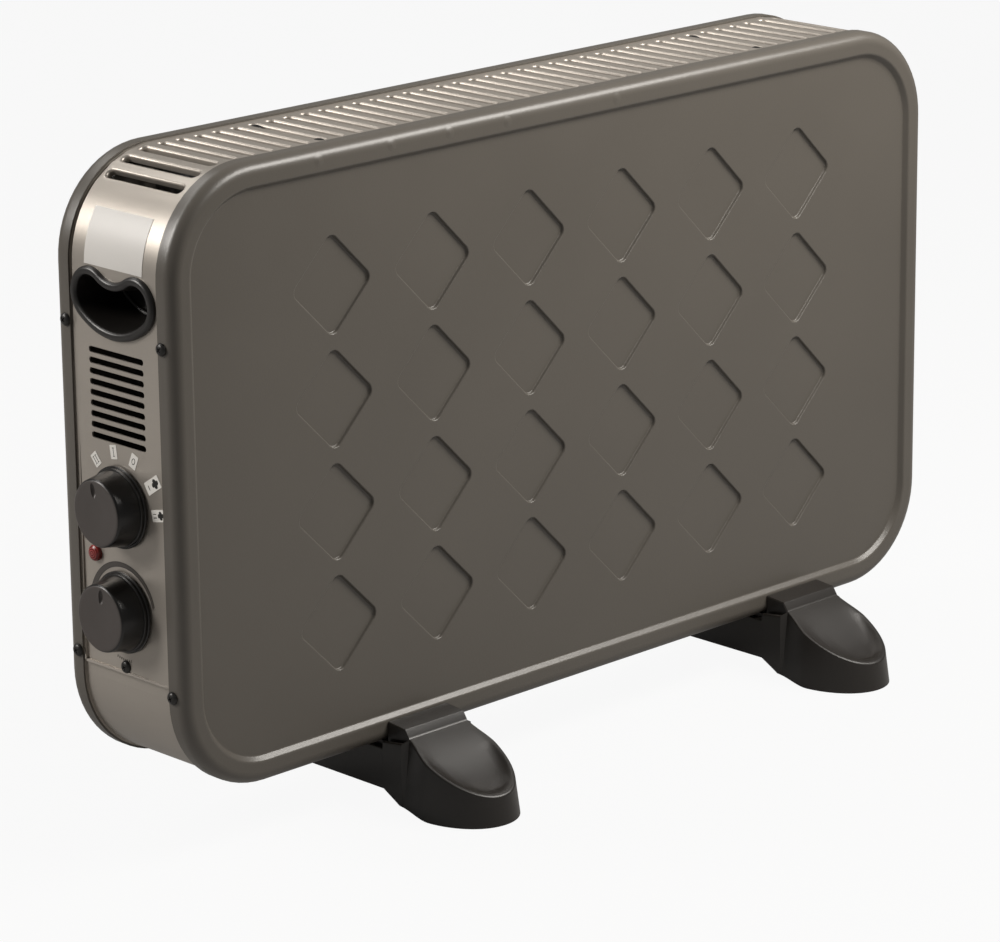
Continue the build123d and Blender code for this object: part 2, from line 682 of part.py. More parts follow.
for x, name in zip(FOOT_XS, ("left_foot", "right_foot")):
    with BuildPart() as foot:
        with BuildSketch(section_plane(x - FOOT_W / 2)):
            with BuildLine():
                Polyline(
                    (-FOOT_ARCH_Y, FOOT_ARCH_H), (FOOT_ARCH_Y, FOOT_ARCH_H), (FOOT_PAD_END, 0),
                    (FOOT_REACH, 0), (FOOT_REACH, FOOT_TOE_H),
                )
                ThreePointArc(
                    (FOOT_REACH, FOOT_TOE_H),
                    ((FOOT_REACH + tongue_y) / 2 - 1, (FOOT_TOE_H + strip_low) / 2 - TONGUE_SAG),
                    (tongue_y + CLAMP_TAIL, strip_low),
                )
                Polyline(
                    (tongue_y + CLAMP_TAIL, strip_low), (tongue_y, strip_top),
                    (HALF_D, GROUND_CLEARANCE + CLAMP_TOP), (HALF_D, GROUND_CLEARANCE),
                    (-HALF_D, GROUND_CLEARANCE), (-HALF_D, GROUND_CLEARANCE + CLAMP_TOP),
                    (-tongue_y, strip_top), (-tongue_y - CLAMP_TAIL, strip_low),
                )
                ThreePointArc(
                    (-tongue_y - CLAMP_TAIL, strip_low),
                    (-(FOOT_REACH + tongue_y) / 2 + 1, (FOOT_TOE_H + strip_low) / 2 - TONGUE_SAG),
                    (-FOOT_REACH, FOOT_TOE_H),
                )
                Polyline(
                    (-FOOT_REACH, FOOT_TOE_H), (-FOOT_REACH, 0), (-FOOT_PAD_END, 0),
                    (-FOOT_ARCH_Y, FOOT_ARCH_H),
                )
            make_face()
        extrude(amount=FOOT_W)
        with BuildSketch(Plane(origin=(x, 0, 0))):
            Rectangle(FOOT_W, 2 * (FOOT_REACH - FOOT_TOE_LEN))
            with Locations((0, FOOT_REACH - FOOT_TOE_LEN), (0, FOOT_TOE_LEN - FOOT_REACH)):
                Ellipse(FOOT_W / 2, FOOT_TOE_LEN)
        extrude(amount=BODY_Z, mode=Mode.INTERSECT)
        # The walls end lower than the clamp blocks beside them, and lower still under the pans
        for level, reach in ((FOOT_EAR, tongue_y + CLAMP_TAIL), (-FOOT_STEP, HALF_D)):
            with BuildSketch(Plane(origin=(x, 0, GROUND_CLEARANCE + level))):
                with GridLocations(FOOT_W, 0, 2, 1):
                    Rectangle(FOOT_W - CLAMP_W, 2 * reach)
            extrude(amount=BODY_Z, mode=Mode.SUBTRACT)
        add(tongue_cut(x), mode=Mode.SUBTRACT)
        # Hollow underside between the toes
        with BuildSketch(Plane(origin=(x, 0, FOOT_ARCH_H))):
            Rectangle(FOOT_W - 2 * FOOT_WALL, 2 * (FOOT_ARCH_Y - FOOT_WALL))
        extrude(amount=FOOT_ROOF_Z - FOOT_ARCH_H, mode=Mode.SUBTRACT)
        # Bosses that reach the lower sheet between the pans
        with BuildSketch(Plane(origin=(x, 0, GROUND_CLEARANCE - FOOT_STEP))):
            with GridLocations(0, 2 * FOOT_SCREW_Y, 1, 2):
                Circle(FOOT_BOSS_R)
        extrude(amount=LOWER_OUT_Z - GROUND_CLEARANCE + FOOT_STEP)
        with BuildSketch(Plane(origin=(x, 0, FOOT_ROOF_Z))):
            with GridLocations(0, 2 * FOOT_SCREW_Y, 1, 2):
                Circle(SHANK_R + 0.1)
        extrude(amount=LOWER_OUT_Z - FOOT_ROOF_Z, mode=Mode.SUBTRACT)
    save(foot.part, name)

foot_screw_planes = [
    Plane(origin=(x, y, FOOT_ROOF_Z), z_dir=(0, 0, -1)) for x in FOOT_XS for y in (-FOOT_SCREW_Y, FOOT_SCREW_Y)
]
save(screw_set(foot_screw_planes, length=FLOOR_IN_Z - FOOT_ROOF_Z + FOOT_SCREW_END), "foot_screws")


# Sheet-metal partition and element brackets: a wall, a foot folded towards +X and two ears folded at its sides
def standing_sheet(x, top, width, ear, holes=()):
    """A wall across the depth that stands on the lower sheet with a folded foot, with round holes."""
    with BuildPart() as wall:
        with BuildSketch(section_plane(x)):
            with Locations((0, (FLOOR_IN_Z + top) / 2)):
                Rectangle(width, top - FLOOR_IN_Z)
        extrude(amount=SHEET_T)
        with BuildSketch(Plane(origin=(x + FLANGE_L / 2, 0, FLOOR_IN_Z))):
            Rectangle(FLANGE_L, width)
        extrude(amount=SHEET_T)
        if ear:
            with BuildSketch(Plane(origin=(x + ear / 2, 0, SHIELD_Z0))):
                with GridLocations(0, width - SHEET_T, 1, 2):
                    Rectangle(ear, SHEET_T)
            extrude(amount=top - SHIELD_Z0)
        for y, z, radius in holes:
            screw_holes([Plane(origin=(x, y, z), z_dir=(1, 0, 0))], radius)
        screw_holes(
            [Plane(origin=(x + FLANGE_L / 2, y, FLOOR_IN_Z)) for y in (-SHEET_SCREW_Y, SHEET_SCREW_Y)]
        )
    return wall.part


motor_port = (MOTOR_WIRE_Y, MOTOR_WIRE_Z, SMALL_PORT_R)
ports = [(0, ELEMENT_ZS[0], WIRE_PORT_R), (0, CUTOUT_Z + CUTOUT_R / 2, SMALL_PORT_R), motor_port]
save(standing_sheet(PARTITION_X, PARTITION_TOP, BRACKET_W, 0, ports), "control_partition")
bush_holes = [(0, z, BUSH_R - BUSH_GROOVE) for z in ELEMENT_ZS] + [motor_port]
for x, name in zip(BRACKET_XS, ("left_element_bracket", "right_element_bracket")):
    save(standing_sheet(x, FLOOR_IN_Z + BRACKET_H, BRACKET_W, FLANGE_L, bush_holes), name)

for seats, name in (((PARTITION_X,), "partition_screws"), (BRACKET_XS, "bracket_screws")):
    planes = [
        Plane(origin=(x + FLANGE_L / 2, y, LOWER_OUT_Z), z_dir=(0, 0, -1))
        for x in seats for y in (-SHEET_SCREW_Y, SHEET_SCREW_Y)
    ]
    save(screw_set(planes, length=WRAP_T + SHEET_T + SHEET_SCREW_END), name)

# Heating elements: a finned aluminium profile of crossed arms on a round core, and a rod through it
element_x0 = (BRACKET_XS[0] + BRACKET_XS[1] + SHEET_T - ELEMENT_L) / 2
for z, name in zip(ELEMENT_ZS, ("lower_element", "upper_element")):
    start = Plane(origin=(element_x0, 0, z), x_dir=(0, 1, 0), z_dir=(1, 0, 0))
    with BuildPart() as element:
        with BuildSketch(start):
            Circle(CORE_R)
            arm = hypot(ELEMENT_W, ELEMENT_H)
            for lean in (-1, 1):
                Rectangle(arm, FIN_T, rotation=lean * degrees(atan2(ELEMENT_H, ELEMENT_W)))
            Circle(ROD_R, mode=Mode.SUBTRACT)
        extrude(amount=ELEMENT_L)
    save(element.part, name)
    rod_x0 = BRACKET_XS[0] - ROD_OVERHANG
    rod_x1 = BRACKET_XS[1] + SHEET_T + ROD_OVERHANG
    with BuildPart() as rod:
        with BuildSketch(Plane(origin=(rod_x0, 0, z), z_dir=(1, 0, 0))):
            Circle(ROD_R)
        extrude(amount=rod_x1 - rod_x0)
        with BuildSketch(Plane(origin=(rod_x0 - PIN_L, 0, z), z_dir=(1, 0, 0))):
            Circle(PIN_R)
        extrude(amount=rod_x1 - rod_x0 + 2 * PIN_L)
    save(rod.part, f"{name}_rod")

# Ceramic bushes, each with a groove that the bracket's edge sits in
bushes = []
for x in BRACKET_XS:
    for z in ELEMENT_ZS:
        with BuildPart() as bush:
            with BuildSketch(shift(0)):
                with Locations((x + SHEET_T / 2, z)):
                    for side in (-1, 1):
                        with Locations((side * (SHEET_T + BUSH_LIP) / 2, (BUSH_R + ROD_R) / 2)):
                            Rectangle(BUSH_LIP, BUSH_R - ROD_R)
                    with Locations((0, (BUSH_R - BUSH_GROOVE + ROD_R) / 2)):
                        Rectangle(SHEET_T, BUSH_R - BUSH_GROOVE - ROD_R)
            revolve(axis=Axis((0, 0, z), (1, 0, 0)))
        bushes.append(bush.part)
save(Compound(children=bushes), "element_bushes")

# Heat shields on the brackets' ears, and the hangers that hold their upper edges to the louvred top
shield_x0 = BRACKET_XS[0]
shield_x1 = BRACKET_XS[1] + FLANGE_L
for end, name in ((-1, "front_heat_shield"), (1, "rear_heat_shield")):
    with BuildPart() as shield:
        shield_y = end * (BRACKET_W + SHIELD_T) / 2
        with BuildSketch(Plane(origin=((shield_x0 + shield_x1) / 2, shield_y, SHIELD_Z0))):
            Rectangle(shield_x1 - shield_x0, SHIELD_T)
        extrude(amount=SHIELD_Z1 - SHIELD_Z0)
    save(shield.part, name)

hanger_xs = [louvre_places[HANGER_SLOT], louvre_places[-1 - HANGER_SLOT]]
for x, name in zip(hanger_xs, ("left_hanger", "right_hanger")):
    with BuildPart() as hanger:
        with BuildSketch(Plane(origin=(x, 0, COLLAR_Z))):
            Rectangle(HANGER_W, BRACKET_W)
        extrude(amount=-SHEET_T)
        with BuildSketch(Plane(origin=(x, 0, COLLAR_Z))):
            with GridLocations(0, BRACKET_W - SHEET_T, 1, 2):
                Rectangle(HANGER_W, SHEET_T)
        extrude(amount=-HANGER_LEG)
        seats = [Plane(origin=(x, y, COLLAR_Z)) for y in (-HANGER_SCREW_Y, HANGER_SCREW_Y)]
        screw_holes(seats, HANGER_SCREW_R + 0.1)
    save(hanger.part, name)
hanger_screws = [Plane(origin=(x, y, TOP_OUT_Z)) for x in hanger_xs for y in (-HANGER_SCREW_Y, HANGER_SCREW_Y)]
save(
    screw_set(hanger_screws, length=TOP_OUT_Z - COLLAR_Z + SHEET_T + SHEET_SCREW_END, shank_r=HANGER_SCREW_R),
    "hanger_screws",
)

# Fan: a shroud over the intake slots, a yoke that carries the motor, and the impeller below it
fan_axis = Plane(origin=(FAN_X, 0, 0))
with BuildPart() as fan_shroud:
    with BuildSketch(fan_axis.offset(SHROUD_Z)):
        Rectangle(SHROUD_L, SHROUD_W)
        Circle(FAN_R + FAN_GAP, mode=Mode.SUBTRACT)
    extrude(amount=SHEET_T)
    with BuildSketch(fan_axis.offset(FLOOR_IN_Z)):
        with GridLocations(SHROUD_L - SHEET_T, 0, 2, 1):
            Rectangle(SHEET_T, SHROUD_W)
    extrude(amount=SHROUD_Z - FLOOR_IN_Z)
save(fan_shroud.part, "fan_shroud")

yoke_leg_x = FAN_R + FAN_GAP + SHEET_T + YOKE_SIDE_GAP
with BuildPart() as motor_yoke:
    with BuildSketch(fan_axis.offset(YOKE_Z)):
        Rectangle(2 * yoke_leg_x, YOKE_W)
        Circle(FAN_SHAFT_R + SHAFT_GAP, mode=Mode.SUBTRACT)
    extrude(amount=YOKE_T)
    with BuildSketch(fan_axis.offset(SHROUD_Z + SHEET_T)):
        with GridLocations(2 * yoke_leg_x - YOKE_T, 0, 2, 1):
            Rectangle(YOKE_T, YOKE_W)
    extrude(amount=YOKE_Z - SHROUD_Z - SHEET_T)
save(motor_yoke.part, "motor_yoke")

stator_z = YOKE_Z + YOKE_T
with BuildPart() as motor_stator:
    with BuildSketch(fan_axis.offset(stator_z)):
        Rectangle(STATOR_L, STATOR_W)
        Circle(ROTOR_R + AIR_GAP, mode=Mode.SUBTRACT)
        with Locations((0, COIL_Y)):
            Rectangle(STATOR_L - 2 * LIMB_W, COIL_WINDOW, mode=Mode.SUBTRACT)
    extrude(amount=STATOR_H)
save(motor_stator.part, "motor_stator")

limb_y = COIL_Y + COIL_WINDOW / 2 + LIMB_W / 2
coil_start = Plane(
    origin=(FAN_X - COIL_L / 2, limb_y, stator_z + STATOR_H / 2), x_dir=(0, 1, 0), z_dir=(1, 0, 0)
)
with BuildPart() as motor_coil:
    with BuildSketch(coil_start):
        RectangleRounded(LIMB_W + 2 * COIL_T, STATOR_H + 2 * COIL_T, COIL_T)
        Rectangle(LIMB_W, STATOR_H, mode=Mode.SUBTRACT)
    extrude(amount=COIL_L)
save(motor_coil.part, "motor_coil")

bridge_z = stator_z + STATOR_H
with BuildPart() as motor_bridge:
    with BuildSketch(fan_axis.offset(bridge_z)):
        Rectangle(STATOR_L, YOKE_W)
        Circle(FAN_SHAFT_R + SHAFT_GAP, mode=Mode.SUBTRACT)
    extrude(amount=BRIDGE_T)
save(motor_bridge.part, "motor_bridge")

with BuildPart() as motor_rotor:
    with BuildSketch(fan_axis.offset(stator_z + END_FLOAT)):
        Circle(ROTOR_R)
    extrude(amount=STATOR_H - 2 * END_FLOAT)
    with BuildSketch(fan_axis.offset(YOKE_Z - FAN_H - SHAFT_TIP)):
        Circle(FAN_SHAFT_R)
    extrude(amount=bridge_z + BRIDGE_T + SHAFT_TIP - YOKE_Z + FAN_H + SHAFT_TIP)
save(motor_rotor.part, "motor_rotor")

impeller_z = YOKE_Z - FAN_H - END_FLOAT
with BuildPart() as fan_impeller:
    with BuildSketch(fan_axis.offset(impeller_z)):
        Circle(FAN_HUB_R)
    extrude(amount=FAN_H - END_FLOAT)
    for i in range(BLADE_COUNT):
        spoke = 2 * pi * i / BLADE_COUNT
        along = (cos(spoke), sin(spoke), 0)
        lean = radians(BLADE_PITCH)
        across = (-sin(spoke) * cos(lean), cos(spoke) * cos(lean), sin(lean))
        root = FAN_HUB_R - BLADE_T
        centre = (FAN_X + root * along[0], root * along[1], impeller_z + FAN_H / 2)
        with BuildSketch(Plane(origin=centre, x_dir=across, z_dir=along)):
            Rectangle(BLADE_W, BLADE_T)
        extrude(amount=FAN_R - 1 - root)
    with BuildSketch(fan_axis.offset(impeller_z)):
        Circle(FAN_SHAFT_R)
    extrude(amount=FAN_H, mode=Mode.SUBTRACT)
save(fan_impeller.part, "fan_impeller")

# Thermal cut-out on the left bracket and terminal block on the partition
with BuildPart() as thermal_cutout:
    with BuildSketch(Plane(origin=(BRACKET_XS[0], 0, CUTOUT_Z), z_dir=(-1, 0, 0))):
        Circle(CUTOUT_R)
    extrude(amount=CUTOUT_H)
    cutout_back = Plane(origin=(BRACKET_XS[0] - CUTOUT_H, 0, CUTOUT_Z), x_dir=(0, 1, 0), z_dir=(-1, 0, 0))
    with BuildSketch(cutout_back):
        with GridLocations(0, CUTOUT_R, 1, 2):
            Rectangle(TERMINAL_W / 2, TERMINAL_T)
    extrude(amount=TERMINAL_L)
save(thermal_cutout.part, "thermal_cutout")

block_face = Plane(origin=(PARTITION_X, BLOCK_Y, CORD_Z), x_dir=(0, -1, 0), z_dir=(-1, 0, 0))
with BuildPart() as terminal_block:
    with BuildSketch(block_face):
        Rectangle(BLOCK_W, BLOCK_H)
    extrude(amount=BLOCK_D)
    with BuildSketch(block_face.offset(BLOCK_D)):
        with GridLocations(BLOCK_W / 3, 0, 3, 1):
            Circle(BLOCK_PORT_R)
    extrude(amount=-BLOCK_D / 2, mode=Mode.SUBTRACT)
save(terminal_block.part, "terminal_block")

# Cord grommet
with BuildPart() as cord_grommet:
    grommet_y = HALF_D - FIELD_DEPTH - PAN_T - GROMMET_LIP
    with BuildSketch(Plane(origin=(CORD_X, grommet_y, CORD_Z), x_dir=(0, 1, 0), z_dir=(1, 0, 0))):
        with BuildLine():
            total = PAN_T + 2 * GROMMET_LIP
            Polyline(
                (0, CORD_HOLE_R), (0, GROMMET_R), (GROMMET_LIP, GROMMET_R), (GROMMET_LIP, GROMMET_NECK_R),
                (GROMMET_LIP + PAN_T, GROMMET_NECK_R), (GROMMET_LIP + PAN_T, GROMMET_R),
                (total, GROMMET_R - 1), (total, CORD_HOLE_R), (0, CORD_HOLE_R),
            )
        make_face()
    revolve(axis=Axis((CORD_X, 0, CORD_Z), (0, 1, 0)))
save(cord_grommet.part, "cord_grommet")


# Internal wiring
def wire(points):
    """One insulated wire along the points: straight runs joined by tangent arcs."""
    points = [Vector(*point) for point in points]
    runs = [b - a for a, b in zip(points, points[1:])]
    radii = []
    for before, after in zip(runs, runs[1:]):
        half_turn = radians(before.get_angle(after)) / 2
        radii.append(min(0.45 * min(before.length, after.length) / tan(half_turn), WIRE_BEND_R))
    with BuildPart() as tube:
        with BuildLine() as route:
            FilletPolyline(*points, radius=radii)
        with BuildSketch(Plane(origin=points[0], z_dir=runs[0])):
            Circle(WIRE_R)
        sweep(path=route.wires()[0])
    return tube.part


thermostat_x = THERMOSTAT_SIZE[2] + TERMINAL_L - SIDE_IN_X
selector_x = SWITCH_SIZE[2] + TERMINAL_L - SIDE_IN_X
lamp_x = LENS_STEM + LAMP_L - SIDE_X
block_x = PARTITION_X - BLOCK_D
left_pin_x = BRACKET_XS[0] - ROD_OVERHANG - PIN_L
right_pin_x = BRACKET_XS[1] + SHEET_T + ROD_OVERHANG + PIN_L
cutout_x = BRACKET_XS[0] - CUTOUT_H - TERMINAL_L
port_y = BLOCK_W / 3
tab = TERMINAL_PITCH / 2
coil_z = bridge_z + COIL_T / 2
port_x = block_x + BLOCK_D / 2
routes = (
    ((port_x, -port_y, CORD_Z), (block_x - 10, -port_y, CORD_Z), (block_x - 11, -port_y, THERMOSTAT_Z - 20),
     (thermostat_x + 10, -tab, THERMOSTAT_Z - tab), (thermostat_x, -tab, THERMOSTAT_Z - tab)),
    ((thermostat_x, tab, THERMOSTAT_Z + tab), (thermostat_x + 10, tab, THERMOSTAT_Z + tab),
     (selector_x + 9, tab, (THERMOSTAT_Z + SELECTOR_Z) / 2), (selector_x + 8, tab, SELECTOR_Z - tab),
     (selector_x, tab, SELECTOR_Z - tab)),
    ((port_x, port_y, CORD_Z), (block_x - 10, port_y, CORD_Z), (block_x - 10, 20, THERMOSTAT_Z - 7),
     (block_x - 12, LENS_Y, LENS_Z), (lamp_x, LENS_Y, LENS_Z)),
    ((selector_x, -tab, SELECTOR_Z - tab), (selector_x + 13, -tab, SELECTOR_Z - tab),
     (block_x, -tab / 2, ELEMENT_ZS[0] + 14), (PARTITION_X - 8, 0, ELEMENT_ZS[0]), (left_pin_x, 0, ELEMENT_ZS[0])),
    ((right_pin_x, 0, ELEMENT_ZS[0]), (right_pin_x + 9, 0, ELEMENT_ZS[0]),
     (right_pin_x + 12, 0, (ELEMENT_ZS[0] + ELEMENT_ZS[1]) / 2), (right_pin_x + 9, 0, ELEMENT_ZS[1]),
     (right_pin_x, 0, ELEMENT_ZS[1])),
    ((left_pin_x, 0, ELEMENT_ZS[1]), (left_pin_x - 4, 0, ELEMENT_ZS[1]), (left_pin_x - 4, 0, CUTOUT_Z - 8),
     (left_pin_x, 0, CUTOUT_Z - CUTOUT_R / 2), (cutout_x, 0, CUTOUT_Z - CUTOUT_R / 2)),
    ((cutout_x, 0, CUTOUT_Z + CUTOUT_R / 2), (PARTITION_X - 8, 0, CUTOUT_Z + CUTOUT_R / 2),
     (block_x - 2, -14, LENS_Z), (block_x - 8, -14, THERMOSTAT_Z + 14),
     (thermostat_x + 9, -tab, THERMOSTAT_Z + tab), (thermostat_x, -tab, THERMOSTAT_Z + tab)),
    ((port_x, 0, CORD_Z), (block_x - 9, 0, CORD_Z), (block_x - 9, 14, MOTOR_WIRE_Z + 5),
     (block_x + 2, MOTOR_WIRE_Y, MOTOR_WIRE_Z), (FAN_X - 90, MOTOR_WIRE_Y, MOTOR_WIRE_Z),
     (FAN_X - 60, limb_y, MOTOR_WIRE_Z + 10), (FAN_X - 34, limb_y, coil_z), (FAN_X - COIL_L / 2, limb_y, coil_z)),
)
save(Compound(children=[wire(route) for route in routes]), "internal_wiring")
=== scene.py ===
from math import atan2, cos, hypot, pi, radians, sin, sqrt

import bmesh
import bpy
from mathutils import Matrix, Vector


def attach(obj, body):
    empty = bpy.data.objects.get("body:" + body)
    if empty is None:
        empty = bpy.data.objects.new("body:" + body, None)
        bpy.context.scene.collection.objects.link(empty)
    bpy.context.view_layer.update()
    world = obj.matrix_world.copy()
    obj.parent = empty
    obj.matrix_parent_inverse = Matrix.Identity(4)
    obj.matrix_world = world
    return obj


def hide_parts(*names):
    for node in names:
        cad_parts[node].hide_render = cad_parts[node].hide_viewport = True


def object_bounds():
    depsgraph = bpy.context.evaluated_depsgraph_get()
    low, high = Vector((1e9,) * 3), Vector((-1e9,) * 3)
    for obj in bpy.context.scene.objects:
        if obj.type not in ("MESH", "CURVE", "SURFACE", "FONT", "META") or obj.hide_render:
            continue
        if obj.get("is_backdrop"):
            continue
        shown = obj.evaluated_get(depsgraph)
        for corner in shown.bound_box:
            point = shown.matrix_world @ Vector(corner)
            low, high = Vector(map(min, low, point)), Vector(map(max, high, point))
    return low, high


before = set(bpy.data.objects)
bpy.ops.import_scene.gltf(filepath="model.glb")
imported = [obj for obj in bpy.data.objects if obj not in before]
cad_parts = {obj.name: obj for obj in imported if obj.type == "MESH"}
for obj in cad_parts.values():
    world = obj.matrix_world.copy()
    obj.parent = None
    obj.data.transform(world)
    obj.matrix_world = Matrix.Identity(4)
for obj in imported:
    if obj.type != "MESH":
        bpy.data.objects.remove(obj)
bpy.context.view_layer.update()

MM = 0.001


# Studio: one white sweep under the radiator and soft boxes round it, as for a catalogue picture.
# The camera looks down a little on the control side and the front.
class Value:
    """A number in a node tree: arithmetic on it adds Math nodes."""

    def __init__(self, tree, socket):
        self.tree = tree
        self.socket = socket

    def sum_up(self, operation, *terms):
        node = self.tree.nodes.new("ShaderNodeMath")
        node.operation = operation
        for place, term in zip(node.inputs, terms):
            if isinstance(term, Value):
                self.tree.links.new(term.socket, place)
            else:
                place.default_value = term
        return Value(self.tree, node.outputs[0])

    def __add__(self, other):
        return self.sum_up("ADD", self, other)

    def __radd__(self, other):
        return self.sum_up("ADD", other, self)

    def __sub__(self, other):
        return self.sum_up("SUBTRACT", self, other)

    def __rsub__(self, other):
        return self.sum_up("SUBTRACT", other, self)

    def __mul__(self, other):
        return self.sum_up("MULTIPLY", self, other)

    def __rmul__(self, other):
        return self.sum_up("MULTIPLY", other, self)

    def __truediv__(self, other):
        return self.sum_up("DIVIDE", self, other)

    def __rtruediv__(self, other):
        return self.sum_up("DIVIDE", other, self)

    def __pow__(self, other):
        return self.sum_up("POWER", self, other)

    def __lt__(self, other):
        return self.sum_up("LESS_THAN", self, other)

    def __abs__(self):
        return self.sum_up("ABSOLUTE", self)

    def at_least(self, other):
        return self.sum_up("MAXIMUM", self, other)

    def at_most(self, other):
        return self.sum_up("MINIMUM", self, other)


class Bench:
    """A node tree that is being wired: one method adds any node."""

    def __init__(self, tree):
        self.tree = tree

    def add(self, kind, settings=None, values=None, out=0):
        node = self.tree.nodes.new(kind)
        for name, setting in (settings or {}).items():
            if name == "stops":
                ramp = node.color_ramp
                while len(ramp.elements) < len(setting):
                    ramp.elements.new(0.5)
                for element, (place, colour) in zip(ramp.elements, setting):
                    element.position = place
                    element.color = (*colour, 1.0)
            else:
                setattr(node, name, setting)
        for name, value in (values or {}).items():
            socket = node.inputs[name]
            for one in value if isinstance(value, list) else [value]:
                if isinstance(one, Value):
                    self.tree.links.new(one.socket, socket)
                else:
                    socket.default_value = one
        return Value(self.tree, node.outputs[out]) if node.outputs else node

    def again(self, value, out):
        """Another output of the node that a value came from."""
        return Value(self.tree, value.socket.node.outputs[out])


def fresh_material(name):
    material = bpy.data.materials.new(name)
    material.use_nodes = True
    material.node_tree.nodes.clear()
    return material, Bench(material.node_tree)


FLOOR_HALF = 6.0
FLOOR_SHOWN, IN_GLOSS = 0.93, 0.10


def studio_sweep():
    material, bench = fresh_material("sweep_paper")
    paper = bench.add("ShaderNodeBsdfDiffuse", values={"Color": (0.36, 0.355, 0.35, 1)})
    glow = bench.add("ShaderNodeEmission", values={"Color": (1, 1, 1, 1), "Strength": 1.0})
    seen = bench.add("ShaderNodeLightPath", out="Is Camera Ray")
    glossy, through = bench.again(seen, "Is Glossy Ray"), bench.again(seen, "Is Transmission Ray")
    share = seen * FLOOR_SHOWN + glossy * IN_GLOSS + through * IN_GLOSS
    shown = bench.add("ShaderNodeMixShader", values={0: share, 1: paper, 2: glow})
    bench.add("ShaderNodeOutputMaterial", values={"Surface": shown})
    bm = bmesh.new()
    bmesh.ops.create_grid(bm, x_segments=1, y_segments=1, size=FLOOR_HALF)
    mesh = bpy.data.meshes.new("floor")
    bm.to_mesh(mesh)
    bm.free()
    mesh.materials.append(material)
    floor = bpy.data.objects.new("floor", mesh)
    bpy.context.scene.collection.objects.link(floor)
    floor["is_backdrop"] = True


def soft_box(name, place, size, watts, colour, aim=(0.0, 0.0, 0.2)):
    lamp = bpy.data.lights.new(name, "AREA")
    lamp.shape = "RECTANGLE"
    lamp.size, lamp.size_y = size
    lamp.energy = watts
    lamp.color = colour
    box = bpy.data.objects.new(name, lamp)
    box.location = place
    box.rotation_mode = "QUATERNION"
    box.rotation_quaternion = (Vector(aim) - Vector(place)).to_track_quat("-Z", "Y")
    bpy.context.scene.collection.objects.link(box)


studio_sweep()
soft_box("key_box", (0.42, -0.55, 0.95), (0.9, 0.35), 15, (1.0, 0.965, 0.915), (0.2, 0.0, 0.33))
soft_box("side_box", (-1.3, 0.85, 1.0), (0.5, 0.6), 17, (1.0, 0.965, 0.925), (-0.3, 0.0, 0.3))
soft_box("top_box", (-0.5, 1.3, 1.9), (1.8, 0.5), 10, (1.0, 0.975, 0.94))

world = bpy.data.worlds.new("room")
bpy.context.scene.world = world
world.use_nodes = True
world.node_tree.nodes.clear()
room = Bench(world.node_tree)
seen = room.add("ShaderNodeLightPath", out="Is Camera Ray")
glossy, through = room.again(seen, "Is Glossy Ray"), room.again(seen, "Is Transmission Ray")
seen = (seen + glossy * IN_GLOSS + through * IN_GLOSS).at_most(1.0)
dim = room.add("ShaderNodeBackground", values={"Color": (0.93, 0.92, 0.90, 1), "Strength": 0.10})
white = room.add("ShaderNodeBackground", values={"Color": (1, 1, 1, 1), "Strength": 1.0})
room.add("ShaderNodeOutputWorld", values={
    "Surface": room.add("ShaderNodeMixShader", values={0: seen, 1: dim, 2: white})
})

LOOK_DOWN, LOOK_ACROSS, ROLL = 0.2876, pi / 2 - 0.7723, -0.0107
CAMERA_AT = (-1.74627, -1.77663, 0.88897)
FOCAL, SENSOR, PICTURE_WIDE = 4457.65, 36.0, 1000
SIGHT = Vector((cos(LOOK_DOWN) * cos(LOOK_ACROSS), cos(LOOK_DOWN) * sin(LOOK_ACROSS), -sin(LOOK_DOWN)))
across = SIGHT.cross(Vector((0, 0, 1))).normalized()
upward = across.cross(SIGHT)
camera = bpy.data.objects.new("camera", bpy.data.cameras.new("camera"))
turned = Matrix((
    cos(ROLL) * across + sin(ROLL) * upward,
    cos(ROLL) * upward - sin(ROLL) * across,
    -SIGHT,
)).transposed()
camera.matrix_world = Matrix.Translation(CAMERA_AT) @ turned.to_4x4()
camera.data.sensor_width = SENSOR
camera.data.lens = FOCAL / PICTURE_WIDE * SENSOR
camera.data.clip_end = 50.0
bpy.context.scene.collection.objects.link(camera)
bpy.context.scene.camera = camera
bpy.context.scene.view_settings.view_transform = "Standard"


# Front and rear pans: deep-drawn 1.2 mm steel with a rolled shoulder, a stepped border and rows of
# pressed diamonds, powder-coated in a warm dark grey with a satin orange-peel skin.
BODY_W, BODY_H, BODY_D = 600.0, 346.0, 97.5
LIFT = 36.5
CORNER = 58.0
MIDDLE_Z = LIFT + BODY_H / 2
PAN_DEPTH, SHOULDER, SHEET = 12.7, 7.0, 1.2
BORDER, SLOPE, FIELD = 13.0, 2.6, 3.0
COLUMNS, ROWS, PITCH_X, PITCH_Z = 6, 4, 74.7, 63.9
DIAMOND, DIAMOND_R, DIAMOND_DEEP, DIAMOND_SHIFT = 29.5, 5.2, 1.9, 2.0
CORD_PLACE, CORD_NECK = (-262.0, 76.0), 6.6


